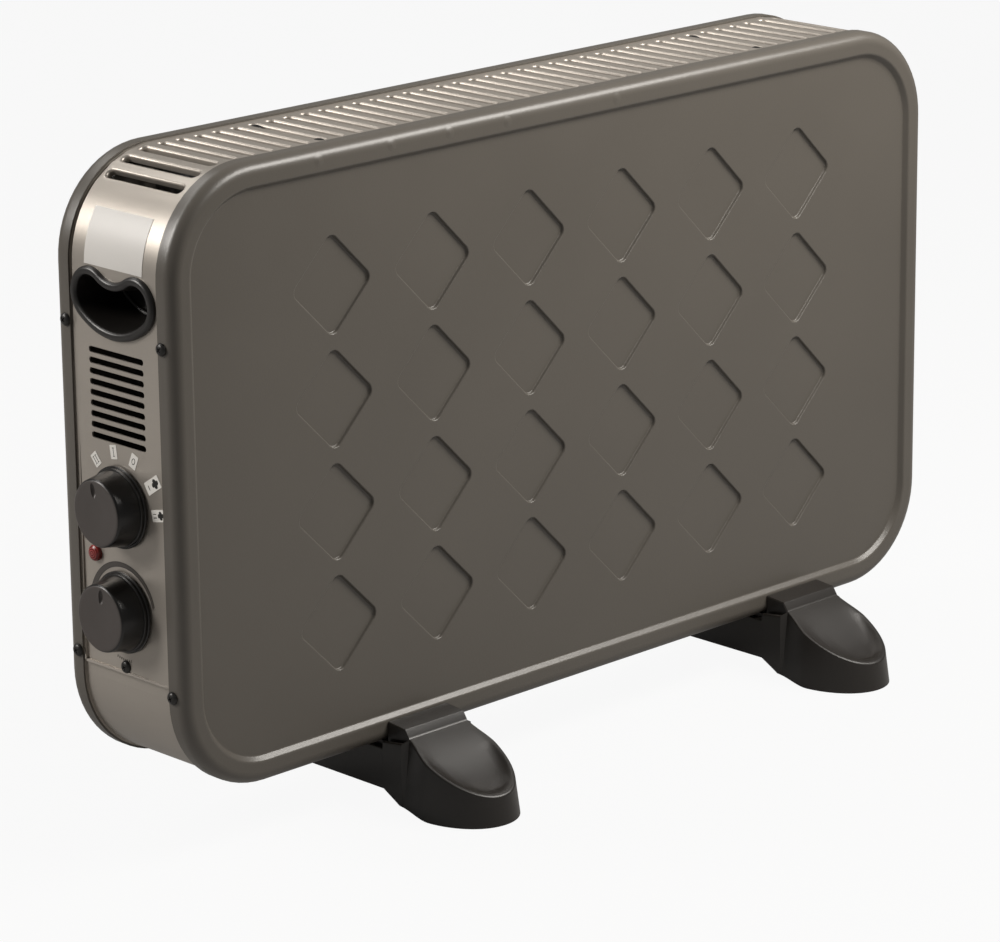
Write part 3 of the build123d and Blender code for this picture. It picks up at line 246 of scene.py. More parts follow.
def painted(name, colour, rough, grain=900.0, peel=0.10, mottle=0.10, metallic=0.0, dust=0.06, coat=0.0):
    """A coated or moulded surface: fine skin texture, slow colour drift and patchy gloss."""
    material, bench = fresh_material(name)
    place = bench.add("ShaderNodeTexCoord", out="Object")
    drift = bench.add("ShaderNodeTexNoise", {}, {"Vector": place, "Scale": 9.0, "Detail": 3.0})
    fine = bench.add("ShaderNodeTexNoise", {}, {"Vector": place, "Scale": grain, "Detail": 2.0})
    deep = tuple(c * (1 - mottle) for c in colour)
    pale = tuple(min(1.0, c * (1 + mottle)) for c in colour)
    tint = bench.add(
        "ShaderNodeValToRGB", {"stops": [(0.3, deep), (0.7, pale)]}, {"Fac": drift * 0.75 + fine * 0.25}
    )
    gloss = rough + (drift - 0.5) * 0.12 + (fine - 0.5) * dust
    skin = bench.add("ShaderNodeBump", {}, {"Strength": peel, "Distance": 0.0003, "Height": fine})
    shader = bench.add("ShaderNodeBsdfPrincipled", {}, {
        "Base Color": tint, "Roughness": gloss, "Metallic": metallic, "Coat Weight": coat, "Normal": skin,
    })
    bench.add("ShaderNodeOutputMaterial", values={"Surface": shader})
    return material


pan_paint = painted("pan_paint", (0.104, 0.094, 0.081), 0.33, grain=1100.0, peel=0.16, mottle=0.05)
WELD_R, WELD_DEEP = 0.0034, 0.0007
WELDS = ((-194.9, 375.6), (-141.8, 375.8), (-98.4, 375.6), (-54.0, 374.8), (32.6, 374.5))


def weld_marks(material):
    """Faint round marks where brackets are spot-welded behind the top border of the front pan."""
    bench = Bench(material.node_tree)
    place = bench.add("ShaderNodeTexCoord", out="Object")
    x = bench.add("ShaderNodeSeparateXYZ", {}, {"Vector": place}, out="X")
    y, z = bench.again(x, "Y"), bench.again(x, "Z")
    marks = 0.0
    for at_x, at_z in WELDS:
        apart = ((x - at_x * MM) ** 2 + (z - at_z * MM) ** 2) ** 0.5
        marks = (1.0 - apart / WELD_R).at_least(0.0) + marks
    marks = marks * (y < 0.0)
    old = next(node for node in material.node_tree.nodes if node.type == "BUMP")
    skin = Value(material.node_tree, old.outputs[0])
    dent = bench.add("ShaderNodeBump", {}, {
        "Strength": 0.5, "Distance": WELD_DEEP, "Height": marks, "Normal": skin,
    })
    shader = next(node for node in material.node_tree.nodes if node.type == "BSDF_PRINCIPLED")
    bench.tree.links.new(dent.socket, shader.inputs["Normal"])


weld_marks(pan_paint)


def outline(inset, corner_steps=16):
    """Points round the body's rounded outline, shrunk by inset, seen from the front, anticlockwise."""
    radius = CORNER - inset
    points = []
    for quarter, (sx, sz) in enumerate(((1, 1), (-1, 1), (-1, -1), (1, -1))):
        centre = (sx * (BODY_W / 2 - CORNER), sz * (BODY_H / 2 - CORNER))
        for step in range(corner_steps + 1):
            turn = (quarter + step / corner_steps) * pi / 2
            points.append((centre[0] + radius * cos(turn), centre[1] + radius * sin(turn)))
    return points


def bridge(bm, loops, closed=True):
    """Skin a row of point loops with quads, and return the rings of vertices."""
    rings = [[bm.verts.new(point) for point in loop] for loop in loops]
    for near, far in zip(rings, rings[1:]):
        count = len(near)
        for k in range(count if closed else count - 1):
            n = (k + 1) % count
            corners = [near[k], near[n], far[n], far[k]]
            if len({tuple(v.co) for v in corners}) == 4:
                bm.faces.new(corners)
            else:
                kept = []
                for v in corners:
                    if all((v.co - w.co).length > 1e-9 for w in kept):
                        kept.append(v)
                if len(kept) == 3:
                    bm.faces.new(kept)
    return rings


def loop_edges(bm, ring):
    return [
        bm.edges.get((a, b)) or bm.edges.new((a, b)) for a, b in zip(ring, ring[1:] + ring[:1])
    ]


def fill(bm, *rings):
    """Close a flat face whose first ring is its outline and whose other rings are holes in it."""
    edges = [edge for ring in rings for edge in loop_edges(bm, ring)]
    bmesh.ops.triangle_fill(bm, use_beauty=True, use_dissolve=False, edges=edges)


def face_towards(bm, direction, weld=0.01):
    """Weld the mesh, make its normals agree, and turn them so that the open shell faces direction."""
    bmesh.ops.remove_doubles(bm, verts=bm.verts, dist=weld)
    bmesh.ops.recalc_face_normals(bm, faces=bm.faces)
    total = sum((face.normal * face.calc_area() for face in bm.faces), Vector())
    if total.dot(Vector(direction)) < 0:
        bmesh.ops.reverse_faces(bm, faces=bm.faces)


def make(name, bm, material, sharp=35.0, closed=True):
    """Turn a bmesh in millimetres into a finished object in metres."""
    if closed:
        bmesh.ops.remove_doubles(bm, verts=bm.verts, dist=0.002)
        bmesh.ops.recalc_face_normals(bm, faces=bm.faces)
    bmesh.ops.scale(bm, vec=(MM,) * 3, verts=bm.verts)
    mesh = bpy.data.meshes.new(name)
    bm.to_mesh(mesh)
    bm.free()
    mesh.materials.append(material)
    for polygon in mesh.polygons:
        polygon.use_smooth = True
    mesh.set_sharp_from_angle(angle=radians(sharp))
    made = bpy.data.objects.new(name, mesh)
    bpy.context.scene.collection.objects.link(made)
    return made


def settle(made, sharp=35.0):
    """Bake an object's modifiers into its mesh."""
    graph = bpy.context.evaluated_depsgraph_get()
    mesh = bpy.data.meshes.new_from_object(made.evaluated_get(graph), depsgraph=graph)
    made.modifiers.clear()
    made.data = mesh
    for polygon in mesh.polygons:
        polygon.use_smooth = True
    mesh.set_sharp_from_angle(angle=radians(sharp))
    return made


def wall(made, thickness):
    """Give an open skin its sheet thickness, inwards."""
    solid = made.modifiers.new("sheet", "SOLIDIFY")
    solid.thickness = thickness * MM
    solid.offset = -1.0
    solid.use_even_offset = True


def tree_for(made, name, inputs):
    """A Geometry Nodes modifier with named inputs, set by their identifiers. Returns its bench and inputs."""
    tree = bpy.data.node_groups.new(name, "GeometryNodeTree")
    tree.interface.new_socket("Geometry", in_out="INPUT", socket_type="NodeSocketGeometry")
    tree.interface.new_socket("Geometry", in_out="OUTPUT", socket_type="NodeSocketGeometry")
    modifier = made.modifiers.new(name, "NODES")
    modifier.node_group = tree
    for label, (kind, value) in inputs.items():
        socket = tree.interface.new_socket(label, in_out="INPUT", socket_type=f"NodeSocket{kind}")
        modifier[socket.identifier] = value
    bench = Bench(tree)
    entry = bench.add("NodeGroupInput")
    given = {label: bench.again(entry, label) for label in ("Geometry", *inputs)}
    return bench, given


def hand_over(bench, shape, material):
    """End a tree: real geometry, merged by distance, in its material."""
    real = bench.add("GeometryNodeRealizeInstances", values={"Geometry": shape})
    real = bench.add("GeometryNodeMergeByDistance", values={"Geometry": real, "Distance": 2e-6})
    real = bench.add("GeometryNodeSetMaterial", values={"Geometry": real})
    real.socket.node.inputs["Material"].default_value = material
    exit_node = bench.tree.nodes.new("NodeGroupOutput")
    bench.tree.links.new(real.socket, exit_node.inputs[0])


def drawn_profile():
    """Inset and depth down the pan from its cut edge over the shoulder and the border step to the field."""
    points = [(0.0, PAN_DEPTH), (0.0, PAN_DEPTH - 2)]
    bends = [t * pi / 2 / 10 for t in range(11)]
    points += [(SHOULDER * (1 - cos(bend)), SHOULDER * (1 - sin(bend))) for bend in bends]
    lean = atan2(FIELD, SLOPE)
    for bend, sign, at in ((2.0, 1, (BORDER, 0.0)), (1.2, -1, (BORDER + SLOPE, FIELD))):
        run = bend * (1 - cos(lean)) / sin(lean)
        for t in range(6):
            turn = lean * t / 5
            if sign > 0:
                points.append((at[0] - run + bend * sin(turn), bend * (1 - cos(turn))))
            else:
                turn = lean - turn
                points.append((at[0] + run - bend * sin(turn), FIELD - bend * (1 - cos(turn))))
    points.insert(13, (SHOULDER + 0.2, 0.0))
    points.insert(14, (points[14][0] - 0.2, 0.0))
    points.append((points[-1][0] + 0.2, FIELD))
    return points


def diamond(grow, steps=8):
    """The outline of a pressed diamond with rounded corners, grown by that much."""
    radius = DIAMOND_R + grow
    reach = DIAMOND - DIAMOND_R * sqrt(2)
    points = []
    for quarter in range(4):
        middle = quarter * pi / 2
        centre = (reach * cos(middle), reach * sin(middle))
        for step in range(steps + 1):
            turn = middle + (step / steps - 0.5) * pi / 2
            points.append((centre[0] + radius * cos(turn), centre[1] + radius * sin(turn)))
    return points


def diamond_cell():
    """One pitch of the field with its pressed diamond, as a template for the rows."""
    bm = bmesh.new()
    press = [(0.75, 0.0), (0.6, 0.0), (0.25, 0.08), (0.0, 0.3), (-0.15, 0.65), (-0.28, 1.15), (-0.45, 1.6),
             (-0.7, 1.83), (-1.0, DIAMOND_DEEP), (-1.15, DIAMOND_DEEP)]
    rings = bridge(bm, [[(x, deep, z) for x, z in diamond(grow)] for grow, deep in press])
    corners = [
        bm.verts.new((sx * PITCH_X / 2, 0, sz * PITCH_Z / 2))
        for sx, sz in ((-1, -1), (1, -1), (1, 1), (-1, 1))
    ]
    fill(bm, corners, rings[0])
    bm.faces.new(rings[-1])
    face_towards(bm, (0, -1, 0))
    return make("diamond_cell", bm, pan_paint, closed=False)


def pan(name, hole=None):
    """One pan seen from the front, with its diamonds and, in the rear one, the cord's hole (x, z, radius)."""
    bm = bmesh.new()
    profile = drawn_profile()
    rings = bridge(bm, [[(x, deep, z) for x, z in outline(inset)] for inset, deep in profile])
    half_x, half_z = COLUMNS * PITCH_X / 2, ROWS * PITCH_Z / 2
    border = [(-half_x + i * PITCH_X, -half_z) for i in range(COLUMNS)]
    border += [(half_x, -half_z + i * PITCH_Z) for i in range(ROWS)]
    border += [(half_x - i * PITCH_X, half_z) for i in range(COLUMNS)]
    border += [(-half_x, half_z - i * PITCH_Z) for i in range(ROWS)]
    border = [(x + DIAMOND_SHIFT, z) for x, z in border]
    inner = [[bm.verts.new((x, FIELD, z)) for x, z in border]]
    if hole:
        x0, z0, radius = hole
        inner.append([
            bm.verts.new((x0 + radius * cos(k * pi / 16), FIELD, z0 + radius * sin(k * pi / 16)))
            for k in range(32)
        ])
    fill(bm, rings[-1], *inner)
    face_towards(bm, (0, -1, 0))
    made = make(name, bm, pan_paint, closed=False)
    bench, given = tree_for(made, "pressed_rows", {
        "Cell": ("Object", diamond_template), "Columns": ("Int", COLUMNS), "Rows": ("Int", ROWS),
        "Pitch X": ("Float", PITCH_X * MM), "Pitch Z": ("Float", PITCH_Z * MM), "Sunk": ("Float", FIELD * MM),
    })
    centres = bench.add("GeometryNodeMeshGrid", {}, {
        "Size X": given["Pitch X"] * (given["Columns"] - 1), "Size Y": given["Pitch Z"] * (given["Rows"] - 1),
        "Vertices X": given["Columns"], "Vertices Y": given["Rows"],
    })
    sunk = bench.add("ShaderNodeCombineXYZ", {}, {"X": DIAMOND_SHIFT * MM, "Y": given["Sunk"]})
    centres = bench.add("GeometryNodeTransform", {}, {
        "Geometry": centres, "Rotation": (pi / 2, 0, 0), "Translation": sunk,
    })
    cell = bench.add("GeometryNodeObjectInfo", {"transform_space": "ORIGINAL"}, {"Object": given["Cell"]},
                     out="Geometry")
    cells = bench.add("GeometryNodeInstanceOnPoints", {}, {"Points": centres, "Instance": cell})
    both = bench.add("GeometryNodeJoinGeometry", {}, {"Geometry": [cells, given["Geometry"]]})
    hand_over(bench, both, pan_paint)
    wall(made, SHEET)
    settle(made)
    return made


diamond_template = diamond_cell()
cord_hole = (-CORD_PLACE[0], CORD_PLACE[1] - MIDDLE_Z, CORD_NECK)
for name, turned_by, hole in (("front_panel", 0.0, None), ("rear_panel", pi, cord_hole)):
    dressed = pan(f"{name}_pressing", hole)
    shift = Matrix.Translation((0, -BODY_D / 2 * MM, MIDDLE_Z * MM))
    dressed.data.transform(Matrix.Rotation(turned_by, 4, "Z") @ shift)
    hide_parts(name)
    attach(dressed, "chassis")
bpy.data.objects.remove(diamond_template)


# Upper wrapper: one strip of 1 mm steel in metallic silver paint, bent over the top and down both
# sides. Its louvre slots are punched with rims rolled inwards, so the slats between them are rounded.
WRAP_R = CORNER - SHEET
FLAT_REACH = BODY_W / 2 - CORNER
CORNER_Z = LIFT + BODY_H - CORNER
EDGE_Y = BODY_D / 2 - SHOULDER
BAND = BODY_D / 2 - PAN_DEPTH
SEAM = 101.5
LOUVRES, LOUVRE_PITCH, LOUVRE_LONG, LOUVRE_WIDE = 44, 12.9, 61.0, 5.6
RIM_ROLL, COLLAR = 1.5, 2.6
VENT_LONG, VENT_WIDE, VENT_PITCH, VENT_MIDDLE = 45.0, 3.5, 5.93, 256.0
DEPTH_STEPS = ((-EDGE_Y, 0), (BAND - 2.0, 0), (BAND - 1.8, -3.4), (BAND - 0.2, -3.4), (BAND, 0), (EDGE_Y, 0))
sheet_silver = painted("sheet_silver", (0.40, 0.365, 0.325), 0.36, grain=1500.0, peel=0.07, mottle=0.07,
                       metallic=0.55, dust=0.10)


def slot_loop(long, wide, grow=0.0, steps=8, at=(0.0, 0.0), lie="y"):
    """A round-ended slot of that length and width, grown by an offset, along y or along x."""
    straight, radius = (long - wide) / 2, wide / 2 + grow
    points = []
    for end in (1, -1):
        for step in range(steps + 1):
            turn = pi * step / steps
            points.append((end * radius * cos(turn), end * (straight + radius * sin(turn))))
    if lie == "x":
        points = [(y, -x) for x, y in points]
    return [(at[0] + x, at[1] + y) for x, y in points]


def louvre_cell():
    """One pitch of the strip laid flat, with its slot and rolled rim."""
    bm = bmesh.new()
    loops = [[(x, y, 0.0) for x, y in slot_loop(LOUVRE_LONG, LOUVRE_WIDE, RIM_ROLL + 0.15)]]
    for step in range(7):
        turn = pi / 2 * step / 6
        flat = slot_loop(LOUVRE_LONG, LOUVRE_WIDE, RIM_ROLL * (1 - sin(turn)))
        loops.append([(x, y, -RIM_ROLL * (1 - cos(turn))) for x, y in flat])
    low = slot_loop(LOUVRE_LONG, LOUVRE_WIDE)
    loops.append([(x, y, -RIM_ROLL - COLLAR) for x, y in low])
    rings = bridge(bm, loops)
    half = LOUVRE_PITCH / 2
    corners = [bm.verts.new((x, y, 0)) for x, y in (
        (-half, -EDGE_Y), (half, -EDGE_Y), (half, BAND - 2.0), (-half, BAND - 2.0),
    )]
    fill(bm, corners, rings[0])
    bridge(bm, [[(x, y, z) for y, z in DEPTH_STEPS[1:]] for x in (-half, half)], closed=False)
    face_towards(bm, (0, 0, 1))
    return make("louvre_cell", bm, sheet_silver, closed=False)


LOBE_R, BELLY_R, SADDLE_R = 15.5, 44.6, 18.0


def kidney(offset, steps=12):
    """The outline of a handle cup, grown by offset: y along the depth and z up, from its middle."""
    lobe, belly, saddle = LOBE_R + offset, BELLY_R + offset, SADDLE_R - offset
    reach = 18.7
    belly_z = -sqrt((BELLY_R - LOBE_R) ** 2 - reach**2)
    saddle_z = sqrt((SADDLE_R + LOBE_R) ** 2 - reach**2)
    down, up = atan2(belly_z, reach), atan2(saddle_z, -reach)
    points = []
    half_belly = atan2(reach, -belly_z)
    for k in range(-steps, steps):
        turn = half_belly * k / steps
        points.append((belly * sin(turn), -belly_z - belly * cos(turn)))
    for k in range(2 * steps):
        turn = down + (up - down) * k / (2 * steps)
        points.append((reach + lobe * cos(turn), lobe * sin(turn)))
    half_saddle = atan2(reach, saddle_z)
    for k in range(steps, -steps, -1):
        turn = half_saddle * k / steps
        points.append((saddle * sin(turn), saddle_z - saddle * cos(turn)))
    for k in range(2 * steps):
        turn = up + (down - up) * k / (2 * steps)
        points.append((-reach - lobe * cos(turn), lobe * sin(turn)))
    return points


CUP_Z = 310.3
LENS_Y, LENS_Z = 22.2, 165.7


def strip_end(side, holes):
    """The plain end of the strip from the last louvre, round the corner and down to the seam."""
    bm = bmesh.new()
    last = LOUVRES * LOUVRE_PITCH / 2
    bend_end = FLAT_REACH + WRAP_R * pi / 2
    seam_s = bend_end + CORNER_Z - SEAM
    stations = [last + (bend_end - last) * k / 10 for k in range(11)]
    bridge(bm, [[(side * s, y, z) for y, z in DEPTH_STEPS] for s in stations], closed=False)
    bridge(bm, [[(side * s, y, z) for y, z in DEPTH_STEPS[1:]] for s in (bend_end, seam_s)], closed=False)
    lip = [(seam_s - 1.3, 0.0), (seam_s - 0.8, 0.12), (seam_s - 0.4, 0.34), (seam_s, 0.42)]
    across = (-EDGE_Y, -BAND + 2.0, -BAND + 3.0, BAND - 3.0, BAND - 2.0)
    raised = [[(side * s, y, high * (abs(y) < BAND - 2.1)) for y in across] for s, high in lip]
    bridge(bm, raised, closed=False)
    corners = [bm.verts.new((side * s, y, 0)) for s, y in (
        (bend_end, -EDGE_Y), (seam_s - 1.3, -EDGE_Y), (seam_s - 1.3, BAND - 2.0), (bend_end, BAND - 2.0),
    )]
    rings = []
    for hole in holes:
        rings.append([bm.verts.new((side * (bend_end + CORNER_Z - z), y, 0)) for y, z in hole])
    fill(bm, corners, *rings)
    face_towards(bm, (0, 0, 1))
    return bm


def bend_over(made, cell):
    """Lay the louvre cells in a row, join the plain ends to them, and bend the strip round the outline."""
    bench, given = tree_for(made, "louvred_strip", {
        "Cell": ("Object", cell), "Louvres": ("Int", LOUVRES), "Pitch": ("Float", LOUVRE_PITCH * MM),
        "Flat reach": ("Float", FLAT_REACH * MM), "Bend radius": ("Float", WRAP_R * MM),
        "Corner height": ("Float", CORNER_Z * MM),
    })
    step = bench.add("ShaderNodeCombineXYZ", {}, {"X": given["Pitch"]})
    start = bench.add("ShaderNodeCombineXYZ", {}, {"X": given["Pitch"] * (given["Louvres"] - 1) * -0.5})
    row = bench.add("GeometryNodeMeshLine", {}, {
        "Count": given["Louvres"], "Start Location": start, "Offset": step,
    })
    one = bench.add("GeometryNodeObjectInfo", {"transform_space": "ORIGINAL"}, {"Object": given["Cell"]},
                    out="Geometry")
    cells = bench.add("GeometryNodeInstanceOnPoints", {}, {"Points": row, "Instance": one})
    cells = bench.add("GeometryNodeRealizeInstances", {}, {"Geometry": cells})
    strip = bench.add("GeometryNodeJoinGeometry", {}, {"Geometry": [cells, given["Geometry"]]})
    strip = bench.add("GeometryNodeMergeByDistance", {}, {"Geometry": strip, "Distance": 1e-5})
    place = bench.add("GeometryNodeInputPosition")
    along = bench.add("ShaderNodeSeparateXYZ", {}, {"Vector": place}, out="X")
    depth, height = bench.again(along, "Y"), bench.again(along, "Z")
    flat, radius = given["Flat reach"], given["Bend radius"]
    side = along.sum_up("SIGN", along)
    far = abs(along)
    turn = ((far - flat).at_least(0.0) / radius).at_most(pi / 2)
    down = (far - flat - radius * (pi / 2)).at_least(0.0)
    out = radius + height
    bent = bench.add("ShaderNodeCombineXYZ", {}, {
        "X": side * (far.at_most(flat) + out * turn.sum_up("SINE", turn)),
        "Y": depth,
        "Z": out * turn.sum_up("COSINE", turn) - down + given["Corner height"],
    })
    strip = bench.add("GeometryNodeSetPosition", {}, {"Geometry": strip, "Position": bent})
    hand_over(bench, strip, sheet_silver)


def round_hole(y, z, radius, steps=24):
    turns = [k * 2 * pi / steps for k in range(steps)]
    return [(y + radius * cos(turn), z + radius * sin(turn)) for turn in turns]


cup_hole = [(y, CUP_Z + z) for y, z in kidney(-3.0)]
vents = [
    slot_loop(VENT_LONG, VENT_WIDE, at=(0.0, VENT_MIDDLE + VENT_PITCH * k), lie="x") for k in range(-4, 5)
]
strip = strip_end(-1, [cup_hole, *vents, round_hole(LENS_Y, LENS_Z, 3.1)])
other = strip_end(1, [cup_hole])
far_end = bpy.data.meshes.new("far_end")
other.to_mesh(far_end)
other.free()
strip.from_mesh(far_end)
bpy.data.meshes.remove(far_end)
wrapper = make("louvred_wrapper", strip, sheet_silver, closed=False)
louvre_template = louvre_cell()
bend_over(wrapper, louvre_template)
wall(wrapper, 1.0)
settle(wrapper, sharp=40.0)
bpy.data.objects.remove(louvre_template)
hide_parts("upper_wrapper")
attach(wrapper, "chassis")


# Lower wrapper: the same silver sheet under the body, bent up 1 mm further in so that the upper
# one laps over it at the seam. The CAD sheet has its slots and lap already.
def dress(material, *nodes):
    """Give carried-over CAD nodes their finish."""
    for node in nodes:
        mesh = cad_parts[node].data
        mesh.materials.clear()
        mesh.materials.append(material)


dress(sheet_silver, "lower_wrapper")


# Handle cups: black moulded polypropylene cups pushed into kidney-shaped openings high in each side,
# with a proud rounded rim, drafted walls and a crease where the floor meets them.
grip_black = painted("grip_black", (0.012, 0.0105, 0.0095), 0.36, grain=700.0, peel=0.05, mottle=0.2,
                     dust=0.08)
SIDE_X = BODY_W / 2 - SHEET
CUP_DEEP, CUP_DRAFT = 27.0, 0.105


def handle_cup(name, side):
    """A cup as rows of (growth of the kidney, distance out of the side): rim, wall, floor, then its back."""
    bm = bmesh.new()
    rim, height, outer_r, inner_r, floor_r, foot_up = 5.0, 2.8, 2.1, 2.0, 1.8, 0.7
    rows = [(0.0, 0.0), (0.0, foot_up)]
    for t in range(1, 6):
        turn = t * pi / 10
        rows.append((-outer_r * (1 - cos(turn)), foot_up + outer_r * sin(turn)))
    for t in range(0, 6):
        turn = t * pi / 10
        rows.append((-rim + inner_r * (1 - sin(turn)), height - inner_r * (1 - cos(turn))))
    lip = 0.8
    for t in range(1, 7):
        rows.append((-rim - CUP_DRAFT * CUP_DEEP * t / 6, lip - CUP_DEEP * t / 6))
    for t in range(1, 5):
        turn = t * pi / 8
        rows.append((
            -rim - CUP_DRAFT * CUP_DEEP - floor_r * sin(turn), lip - CUP_DEEP - floor_r * (1 - cos(turn)),
        ))
    loops = [[(side * (SIDE_X + out), y, CUP_Z + z) for y, z in kidney(grow)] for grow, out in rows]
    rings = bridge(bm, loops)
    fill(bm, rings[-1])
    back = [(0.0, 0.0), (-3.2, 0.0)]
    for t in range(0, 7):
        under = floor_r if t == 6 else 0.0
        back.append((-3.2 - CUP_DRAFT * CUP_DEEP * t / 6, -0.6 - CUP_DEEP * t / 6 - under))
    behind = [[(side * (SIDE_X + out), y, CUP_Z + z) for y, z in kidney(grow)] for grow, out in back]
    rings = bridge(bm, behind)
    fill(bm, rings[-1])
    made = make(name, bm, grip_black, sharp=42.0)
    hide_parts(name.replace("_shell", ""))
    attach(made, "chassis")


handle_cup("left_handle_cup_shell", -1)
handle_cup("right_handle_cup_shell", 1)


# Knobs: black moulded phenolic with two stepped skirts, a slightly drafted barrel, a dished face and
# an oval pointer dimple. Each is pressed on its switch shaft.
knob_black = painted("knob_black", (0.006, 0.005, 0.0045), 0.30, grain=1400.0, peel=0.06, mottle=0.15,
                     dust=0.10)
# The face is the same black phenolic as the barrel; its lighter grey here is painted light, for the light the
# face catches.
knob_face_painted_light = painted("knob_face_painted_light", (0.058, 0.049, 0.045), 0.42, grain=1600.0, peel=0.09, mottle=0.10,
                    dust=0.08)
SELECTOR_Z, THERMOSTAT_Z = 196.0, 137.0
KNOB_BORE_R, KNOB_BORE_END, KNOB_OFF = 3.05, 11.5, 0.7


def spun(bm, profile, steps=72):
    """Spin a profile of (out, radius) points about the X axis at the origin."""
    loops = []
    for out, radius in profile:
        loops.append([
            (out, radius * cos(2 * pi * k / steps), radius * sin(2 * pi * k / steps)) for k in range(steps)
        ])
    return bridge(bm, loops)


def knob(name, z, pointer, body):
    """A knob with its pointer turned by that many degrees, spun from profiles of (out, radius)."""
    bm = bmesh.new()
    barrel = [(0, 20.6), (0, 22.4), (0.4, 22.8), (1.4, 22.8), (1.8, 22.4), (1.85, 21.9), (3.2, 21.9),
              (3.6, 21.5), (3.65, 21.0), (9.5, 19.95), (15.2, 18.95)]
    barrel += [(15.2 + 1.8 * sin(t * pi / 12), 18.95 - 1.7 * (1 - cos(t * pi / 12))) for t in range(1, 7)]
    face = [(16.86, 15.5), (16.75, 12.0), (16.62, 9.0), (16.5, 7.0), (16.42, 5.0), (16.38, 3.0), (16.36, 1.5)]
    inside = [(1.5, KNOB_BORE_R), (1.5, 6.0), (14.0, 6.0), (14.0, 17.0), (1.0, 18.8), (0, 20.6)]
    outer = spun(bm, barrel + face)
    bm.faces.new(outer[-1])
    spun(bm, inside)
    bore = spun(bm, [(KNOB_BORE_END, 1.0), (KNOB_BORE_END, KNOB_BORE_R), (1.5, KNOB_BORE_R)])
    bm.faces.new(bore[0])
    bmesh.ops.remove_doubles(bm, verts=bm.verts, dist=0.002)
    bmesh.ops.recalc_face_normals(bm, faces=bm.faces)
    # Out runs along -X on the control side.
    bmesh.ops.transform(bm, matrix=Matrix.Rotation(pi, 4, "Z"), verts=bm.verts)
    made = make(name, bm, knob_black, sharp=30.0)
    dimple = bmesh.new()
    bmesh.ops.create_uvsphere(dimple, u_segments=32, v_segments=20, radius=1.0)
    turn, reach = radians(pointer), 12.4
    oval = Matrix.Rotation(turn, 4, "X") @ Matrix.Diagonal((2.3, 2.0, 4.4, 1.0))
    at_edge = Matrix.Translation((-17.35, -reach * sin(turn), reach * cos(turn)))
    bmesh.ops.transform(dimple, matrix=at_edge @ oval, verts=dimple.verts)
    cutter = make("dimple", dimple, knob_face_painted_light)
    cut = made.modifiers.new("dimple", "BOOLEAN")
    cut.operation = "DIFFERENCE"
    cut.solver = "EXACT"
    cut.object = cutter
    settle(made, sharp=30.0)
    bpy.data.objects.remove(cutter)
    mesh = made.data
    mesh.materials.clear()
    mesh.materials.append(knob_black)
    mesh.materials.append(knob_face_painted_light)
    # Front face and pointer dimple take that lighter grey: painted light on the face, not a second finish.
    for polygon in mesh.polygons:
        c = polygon.center
        polygon.material_index = int(c.x < -15.0 * MM and hypot(c.y, c.z) < 18.2 * MM)
    mesh.transform(Matrix.Translation((-(SIDE_X + KNOB_OFF) * MM, 0, z * MM)))
    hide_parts(f"{body}_knob")
    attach(made, body)


knob("selector_knob_moulding", SELECTOR_Z, -9.0, "selector")
knob("thermostat_knob_moulding", THERMOSTAT_Z, 6.0, "thermostat")


# Dial marks: five white stickers round the selector, and the grey crescent printed round the
# thermostat with a tick at its thin end and small ticks below. All signs are the generic kind.
sticker_white = painted("sticker_white", (0.80, 0.78, 0.74), 0.45, grain=2600.0, peel=0.05, mottle=0.04)
print_black = painted("print_black", (0.018, 0.017, 0.016), 0.5, grain=3000.0, peel=0.04, mottle=0.3)
scale_grey = painted("scale_grey", (0.060, 0.052, 0.046), 0.42, grain=3000.0, peel=0.04, mottle=0.12)


def on_side(points, z, out):
    """Points seen from the control side, x to the front and y up about z, put on the sheet."""
    return [(-(SIDE_X + out), -x, z + y) for x, y in points]


def plate(bm, points, z, low, high):
    """A thin printed or stuck shape with its sides."""
    under = [bm.verts.new(p) for p in on_side(points, z, low)]
    over = [bm.verts.new(p) for p in on_side(points, z, high)]
    count = len(points)
    for k in range(count):
        bm.faces.new((under[k], under[(k + 1) % count], over[(k + 1) % count], over[k]))
    bm.faces.new(over)
    bm.faces.new(reversed(under))


def spot(x, y, lean):
    """Places a sign drawn about its own middle on its sticker."""
    def place(points):
        c, s = cos(radians(-lean)), sin(radians(-lean))
        return [(x + px * c - py * s, y + px * s + py * c) for px, py in points]
    return place


def bar(x, y, wide, high):
    """A rectangle about that place."""
    return [(x - wide / 2, y - high / 2), (x + wide / 2, y - high / 2), (x + wide / 2, y + high / 2),
            (x - wide / 2, y + high / 2)]


def blade(x, y, turn, size):
    """One leaf of a fan sign, from the hub outwards."""
    leaf = [(0, 0), (0.42, 0.12), (0.62, 0.42), (0.50, 0.80), (0.12, 1.0), (-0.22, 0.86), (-0.28, 0.5),
            (-0.12, 0.2)]
    c, s = cos(turn), sin(turn)
    return [(x + size * (px * c - py * s), y + size * (px * s + py * c)) for px, py in leaf]


